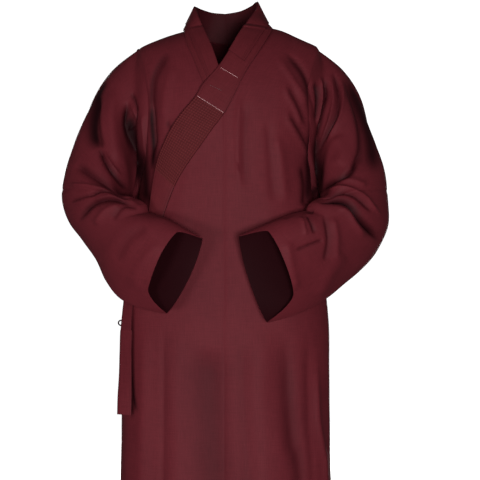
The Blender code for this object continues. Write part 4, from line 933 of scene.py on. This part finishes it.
def from_edges(points):
    """How far each point of a band is from its upper and its lower edge, in metres."""
    upper = run_along(points, 1)
    return upper, upper[:, -1:] - upper


def band_rows(edges, first, last, spacing=BAND_STEP):
    """Places along a band from row to row, evenly spaced in metres along its middle."""
    fine = np.linspace(first, last, 600)
    run = run_along(0.5 * (rows_at(edges[0], fine) + rows_at(edges[1], fine)), 0)
    count = int(round(run[-1] / spacing)) + 1
    return np.interp(np.linspace(0.0, run[-1], count), run, fine)


def band_columns():
    """Shares of the way across a band, with columns close together at its edge stitching."""
    edge = np.array((0.0, 0.010, 0.025, 0.042, 0.058, 0.074, 0.092))
    return np.concatenate((edge, np.linspace(0.092, 0.908, 26)[1:-1], 1.0 - edge[::-1]))


def band_relief(points, line=EDGE_STITCH):
    """Height of a band's face: rounded at its edges by EDGE_ROUND * exp(-(d / EDGE_WIDTH)^2), and
    dipped in the same way along its line of edge stitching."""
    relief = np.zeros(points.shape[:2])
    for gap in from_edges(points):
        relief -= EDGE_ROUND * np.exp(-((gap / EDGE_WIDTH) ** 2))
        relief -= STITCH_DIP * np.exp(-(((gap - line) / STITCH_WIDTH) ** 2))
    return relief


outer_edges = band_edges(OUTER_NECK_EDGE, OUTER_LOWER_NECK, OUTER_LOWER_HEIGHTS, OUTER_SEAM,
                         BAND_LIFT_OUTER)
inner_edges = band_edges(INNER_NECK_EDGE, INNER_LOWER_NECK, INNER_LOWER_HEIGHTS, INNER_SEAM,
                         BAND_LIFT_INNER)
outer_end = len(OUTER_NECK_EDGE) - 1.0
inner_end = len(INNER_NECK_EDGE) - 1.0

# The collar's cloth is the robe's, doubled and pressed harder, so it lies flatter and shines a
# little less. The quilted stretch has taken its dye slightly redder.
# The third colour of each is the painted shade.
collar_cloth = woven_cloth("maroon woven cotton blend, pressed band", "#5a1e24", "#541b21", "#170306",
                           weave=0.28, rough=0.62)
quilted_cloth = woven_cloth("maroon woven cotton blend, quilted", "#5f2225", "#581f22", "#190405",
                            weave=0.30, rough=0.64)


def make_band(name, edges, lift, first, last, sign, material, node, square=None):
    """One stretch of a collar band as a closed shell: its surface with the edges' rounding, the
    stitching's dips, and a raised square |sin|^0.6 * |sin|^0.6 pattern where it is quilted, with
    painted shade in the rounded edges, the dips and the quilting's low places."""
    place = band_rows(edges, first, last, BAND_STEP if square is None else square / 4.0)
    width = np.linalg.norm(rows_at(edges[1], place) - rows_at(edges[0], place), axis=1).mean()
    if square is None:
        across = band_columns()
    else:
        across = np.linspace(0.0, 1.0, 4 * int(round(width / square)) + 1)
    points = band_surface(edges, lift, place, across)
    outward = grid_normals(points) * sign
    at_nape = np.abs(points[..., :1]) < 0.002
    outward = unit(np.where(at_nape, outward * np.array((0.0, 1.0, 1.0)), outward))
    relief = band_relief(points)
    # Painted shade in the rounded edges and the stitching's dips, and below in the quilting's low places.
    shade = np.clip(-relief / FULL_DIP, 0.0, 1.0) * EDGE_SHADE
    if square is not None:
        row = np.abs(np.sin(np.arange(len(place)) * math.pi / 4.0))[:, None]
        column = np.abs(np.sin(np.arange(len(across)) * math.pi / 4.0))[None, :]
        raised = (row * column) ** 0.6
        relief = relief + QUILT_RISE * (raised - 0.5)
        shade = np.maximum(shade, QUILT_SHADE * (1.0 - raised))
    relief = relief + BAND_CRUMPLE * uneven(points[..., 0], points[..., 2], 0.03, 0.03, 12)
    outer = points + outward * relief[..., None]
    piece = cloth_shell(name, outer, outward, BAND, dark=shade)
    dress(piece, material, "collar_cloth", node)


make_band("band_inner", inner_edges, BAND_LIFT_INNER, 0.0, inner_end, -1.0, collar_cloth,
          "collar_inner")
make_band("band_outer", outer_edges, BAND_LIFT_OUTER, 0.0, QUILT_START, 1.0, collar_cloth,
          "collar_outer")
make_band("band_quilted", outer_edges, BAND_LIFT_OUTER, QUILT_START, QUILT_END, 1.0, quilted_cloth,
          "collar_quilted", QUILT_SQUARE)
make_band("band_end", outer_edges, BAND_LIFT_OUTER, QUILT_END, outer_end, 1.0, collar_cloth,
          "collar_end")

# The guard is a narrower strip of the same cloth sewn over the collar round the neck, to take
# the wear. On the chest it ends in a square step.
GUARD = 0.0014
GUARD_GAP = 0.0008        # how far its inner face lies above the bands' outer one
GUARD_ROUND = 0.0006      # how far its edges are rounded off
GUARD_STITCHES = (0.004, 0.0075)  # its two rows of stitching, from its lower edge
GUARD_SHARE = 0.75        # how much of the band's width it covers
GUARD_LEFT = 8.15         # row of the outer band at which it ends
GUARD_RIGHT = 9.3         # row of the inner band at which it ends, below the outer one
guard_columns = np.concatenate((np.array((0.0, 0.014, 0.03)), np.linspace(0.03, 0.94, 22)[1:],
                                np.array((0.955, 0.97, 0.985, 1.0)))) * GUARD_SHARE
right_place = band_rows(inner_edges, 0.0, GUARD_RIGHT)[:0:-1]
left_place = band_rows(outer_edges, 0.0, GUARD_LEFT)
guard_points = np.concatenate((band_surface(inner_edges, BAND_LIFT_INNER, right_place, guard_columns),
                               band_surface(outer_edges, BAND_LIFT_OUTER, left_place, guard_columns)))
outward = grid_normals(guard_points)
from_upper, from_lower = from_edges(guard_points)
relief = -GUARD_ROUND * (np.exp(-((from_upper / EDGE_WIDTH) ** 2))
                         + np.exp(-((from_lower / 0.0014) ** 2)))
for stitched in GUARD_STITCHES:
    relief = relief - STITCH_DIP * np.exp(-(((from_lower - stitched) / 0.0010) ** 2))
outer = guard_points + outward * (relief + GUARD + GUARD_GAP)[..., None]
# Painted shade darkens the guard's rounded edges and stitching dips.
piece = cloth_shell("band_guard", outer, outward, GUARD,
                    dark=np.clip(-relief / 0.0010, 0.0, 1.0) * NARROW_SHADE)
dress(piece, collar_cloth, "collar_cloth", "collar_guard")

# Two rows of large pale stitches cross the band, as the sewer's marks between its layers, and
# one row in the cloth's own colour lies between them. Each stitch is a short round thread.
THREAD = 0.00055          # radius; drawn thicker than the real thread so that it shows
THREAD_LIFT = 0.0003      # how far its middle lies above the band's face
STITCH_LENGTH = 0.0030
STITCH_STEP = 0.0037
# Columns: start across, start height, end across, end height, as seen from the front
PALE_ROWS = ((-0.0078, -0.0860, 0.0300, -0.1085), (-0.0545, -0.1440, 0.0000, -0.1790))
TONE_ROWS = ((-0.0290, -0.1220, -0.0030, -0.1345),)


def thread_stitches(name, rows, material):
    """Rows of stitches on the outer band. Each is a closed tube of six sides, whose radius is
    THREAD * sqrt(1 - t^2) along it, laid on the band's face."""
    points = []
    faces = []
    rings, sides = 7, 6
    for x0, z0, x1, z1 in rows:
        length = math.hypot(x1 - x0, z1 - z0)
        for index in range(int(length / STITCH_STEP)):
            begin = (index * STITCH_STEP + 0.5 * (STITCH_STEP - STITCH_LENGTH)) / length
            t = np.linspace(-0.98, 0.98, rings)
            share = begin + (t + 1.0) * 0.5 * STITCH_LENGTH / length
            x = x0 + (x1 - x0) * share
            z = z0 + (z1 - z0) * share
            y, normals = on_front(x, z, BAND_LIFT_OUTER + THREAD_LIFT)
            centre = np.stack((x, y, z), axis=-1)
            across = unit(np.array((z1 - z0, 0.0, x0 - x1)))
            turn = np.arange(sides) * 2.0 * math.pi / sides
            radius = (THREAD * np.sqrt(1.0 - t**2))[:, None, None]
            ring = (np.cos(turn)[None, :, None] * across + np.sin(turn)[None, :, None] * normals[:, None])
            start = len(points) * rings * sides
            points.append((centre[:, None] + radius * ring).reshape(-1, 3))
            grid = start + np.arange(rings * sides).reshape(rings, sides)
            grid = np.concatenate((grid, grid[:, :1]), axis=1)
            faces += quads_of(grid)[:, (0, 3, 2, 1)].tolist()
            faces += [grid[0, :-1][::-1].tolist(), grid[-1, :-1].tolist()]
    made = add_piece(name, np.concatenate(points), faces)
    made.data.materials.append(material)
    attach(made, "root")


def sewing_thread(name, code, rough):
    """Spun polyester sewing thread: matt, with a slight sheen along its twist."""
    material, tree, shader = new_material(name, [("Roughness", rough), ("Sheen Weight", 0.3)])
    place = add_node(tree, "ShaderNodeTexCoord")
    twist = add_node(tree, "ShaderNodeTexNoise", [("Scale", 900.0), ("Detail", 1.0)],
                     [("Vector", place, "Object")])
    tone = add_node(tree, "ShaderNodeMapRange", [("To Min", 0.8), ("To Max", 1.1)],
                    [("Value", twist, "Fac")])
    mixed = add_node(tree, "ShaderNodeMix", [("Factor", 1.0), ("A", linear(code))],
                     [("B", tone, "Result")], data_type="RGBA", blend_type="MULTIPLY")
    tree.links.new(mixed.outputs["Result"], shader.inputs["Base Color"])
    return material


pale_thread = sewing_thread("pale pink polyester thread", "#d9a3a6", 0.5)
tone_thread = sewing_thread("maroon polyester thread", "#4a1a20", 0.6)
thread_stitches("stitches_pale", PALE_ROWS, pale_thread)
thread_stitches("stitches_tone", TONE_ROWS, tone_thread)

# The tie is a flat strap of the robe's cloth, folded and edge stitched. It hangs at the
# wearer's right side, where it would close the robe.
TIE_WIDTH = 0.034
TIE_THICKNESS = 0.0022
TIE_STITCH = 0.004        # its stitching's distance from the edge
TIE_CRUMPLE = 0.0016      # how unevenly it lies
# Columns: middle of the tie x, y, z, and how far its inner edge is turned to the front
TIE_COURSE = (
    (-0.1955, -0.0890, -0.545, 56.0), (-0.1980, -0.0960, -0.580, 52.0), (-0.2005, -0.1020, -0.620, 46.0),
    (-0.2015, -0.1090, -0.700, 38.0), (-0.2035, -0.1130, -0.786, 30.0),
)
tie_rows = rows_at(TIE_COURSE, np.linspace(0.0, len(TIE_COURSE) - 1.0, 110))
tie_edge = np.array((0.0, 0.02, 0.05, 0.09, 0.13, 0.17))
tie_across = np.concatenate((tie_edge, np.linspace(0.17, 0.83, 12)[1:-1], 1.0 - tie_edge[::-1])) - 0.5
turn = np.radians(tie_rows[:, 3])
direction = np.stack((np.cos(turn), -np.sin(turn), np.zeros(len(turn))), axis=-1)
points = tie_rows[:, None, :3] + direction[:, None, :] * (tie_across[None, :, None] * TIE_WIDTH)
outward = grid_normals(points)
relief = band_relief(points, TIE_STITCH)
crumple = TIE_CRUMPLE * uneven(tie_across[None, :], tie_rows[:, 2:3], 0.9, 0.045, 21)
outer = points + outward * (relief + crumple)[..., None]
# Painted shade darkens the tie's rounded edges and stitching dips.
piece = cloth_shell("cloth_tie", outer, outward, TIE_THICKNESS,
                    dark=np.clip(-relief / FULL_DIP, 0.0, 1.0) * NARROW_SHADE)
dress(piece, robe_cloth, "robe_cloth", "tie")

# The loop is a short piece of dark braided cord beside the tie, with both ends sewn in at the
# side. Its eye is open.
LOOP_PLACE = (-0.2155, -0.0185, -0.605)
LOOP_RADIUS = 0.0052      # of the eye, to the middle of the cord
LOOP_CORD = 0.0015        # the cord's own radius
LOOP_TURNS = 56           # points along the cord
LOOP_SIDES = 14           # and round it
turn = np.linspace(0.0, 2.0 * math.pi, LOOP_TURNS + 1)[:-1]
around = np.linspace(0.0, 2.0 * math.pi, LOOP_SIDES + 1)[:-1]
# A ring of cord with a slow twist: its radius is LOOP_CORD * (1 + 0.12 cos(3 around + 14 turn)).
cord = LOOP_CORD * (1.0 + 0.12 * np.cos(3.0 * around[None, :] + 14.0 * turn[:, None]))
reach = LOOP_RADIUS + cord * np.cos(around)[None, :]
points = np.stack((LOOP_PLACE[0] + reach * np.cos(turn)[:, None],
                   LOOP_PLACE[1] + cord * np.sin(around)[None, :],
                   LOOP_PLACE[2] + reach * np.sin(turn)[:, None]), axis=-1)
grid = np.arange(LOOP_TURNS * LOOP_SIDES).reshape(LOOP_TURNS, LOOP_SIDES)
grid = np.concatenate((grid, grid[:1]), axis=0)
grid = np.concatenate((grid, grid[:, :1]), axis=1)
piece = add_piece("loop_cord", points.reshape(-1, 3), quads_of(grid)[:, (0, 3, 2, 1)].tolist())
loop_thread = sewing_thread("dark maroon braided cord", "#2c0f13", 0.7)
dress(piece, loop_thread, "cord", "tie_loop")

# The studio: a pale floor, a pale wall all round it that the lamps don't need, and soft lights.
FLOOR = -1.285
WALL_RADIUS = 7.5
ROBE_MIDDLE = (0.0, 0.0, -0.5)
FLOOR_ROWS = 60
FLOOR_TURNS = 96
# Radius and height of the floor and wall, from the middle outwards and up
PROFILE = ((0.01, FLOOR), (4.0, FLOOR), (6.2, FLOOR + 0.15), (7.2, FLOOR + 0.9), (WALL_RADIUS, 1.2),
           (WALL_RADIUS, 6.5))
sweep = rows_at(PROFILE, np.linspace(0.0, len(PROFILE) - 1.0, FLOOR_ROWS))
turn = np.linspace(0.0, 2.0 * math.pi, FLOOR_TURNS + 1)[:-1]
points = np.stack((sweep[:, :1] * np.cos(turn), sweep[:, :1] * np.sin(turn),
                   sweep[:, 1:] + np.zeros((FLOOR_ROWS, FLOOR_TURNS))), axis=-1)
index = np.arange(FLOOR_ROWS * FLOOR_TURNS).reshape(FLOOR_ROWS, FLOOR_TURNS)
index = np.concatenate((index, index[:, :1]), axis=1)
floor = add_piece("floor", points.reshape(-1, 3), quads_of(index).tolist())
floor.visible_diffuse = False
floor.visible_glossy = False
# Matt white backdrop paper. It gives an even light of its own, so that no edge shows on it.
paper, _, _ = new_material("pale studio paper", [
    ("Base Color", linear("#f4f4f4")), ("Roughness", 0.9), ("Emission Color", linear("#ffffff")),
    ("Emission Strength", 0.97)])
floor.data.materials.append(paper)


def soft_light(name, place, size, power):
    """A square area light that faces the middle of the robe."""
    data = bpy.data.lights.new(name, "AREA")
    data.energy = power
    data.size = size
    made = bpy.data.objects.new(name, data)
    made.location = place
    way = np.array(ROBE_MIDDLE) - np.array(place)
    flat = math.hypot(way[0], way[1])
    made.rotation_euler = (math.atan2(flat, -way[2]), 0.0, math.atan2(way[1], way[0]) - math.pi / 2.0)
    bpy.context.scene.collection.objects.link(made)


soft_light("key", (0.4, -3.8, -0.7), 0.9, 112.0)
soft_light("fill", (-1.9, -3.0, -1.3), 1.2, 74.0)
soft_light("back left", (-1.0, 3.8, 0.2), 1.2, 60.0)
soft_light("back right", (1.2, 3.6, -0.7), 1.2, 50.0)
world = bpy.data.worlds.new("studio")
world.use_nodes = True
world.node_tree.nodes["Background"].inputs["Color"].default_value = linear("#f4f4f6")
world.node_tree.nodes["Background"].inputs["Strength"].default_value = 0.10
bpy.context.scene.world = world
bpy.context.scene.view_settings.view_transform = "Standard"
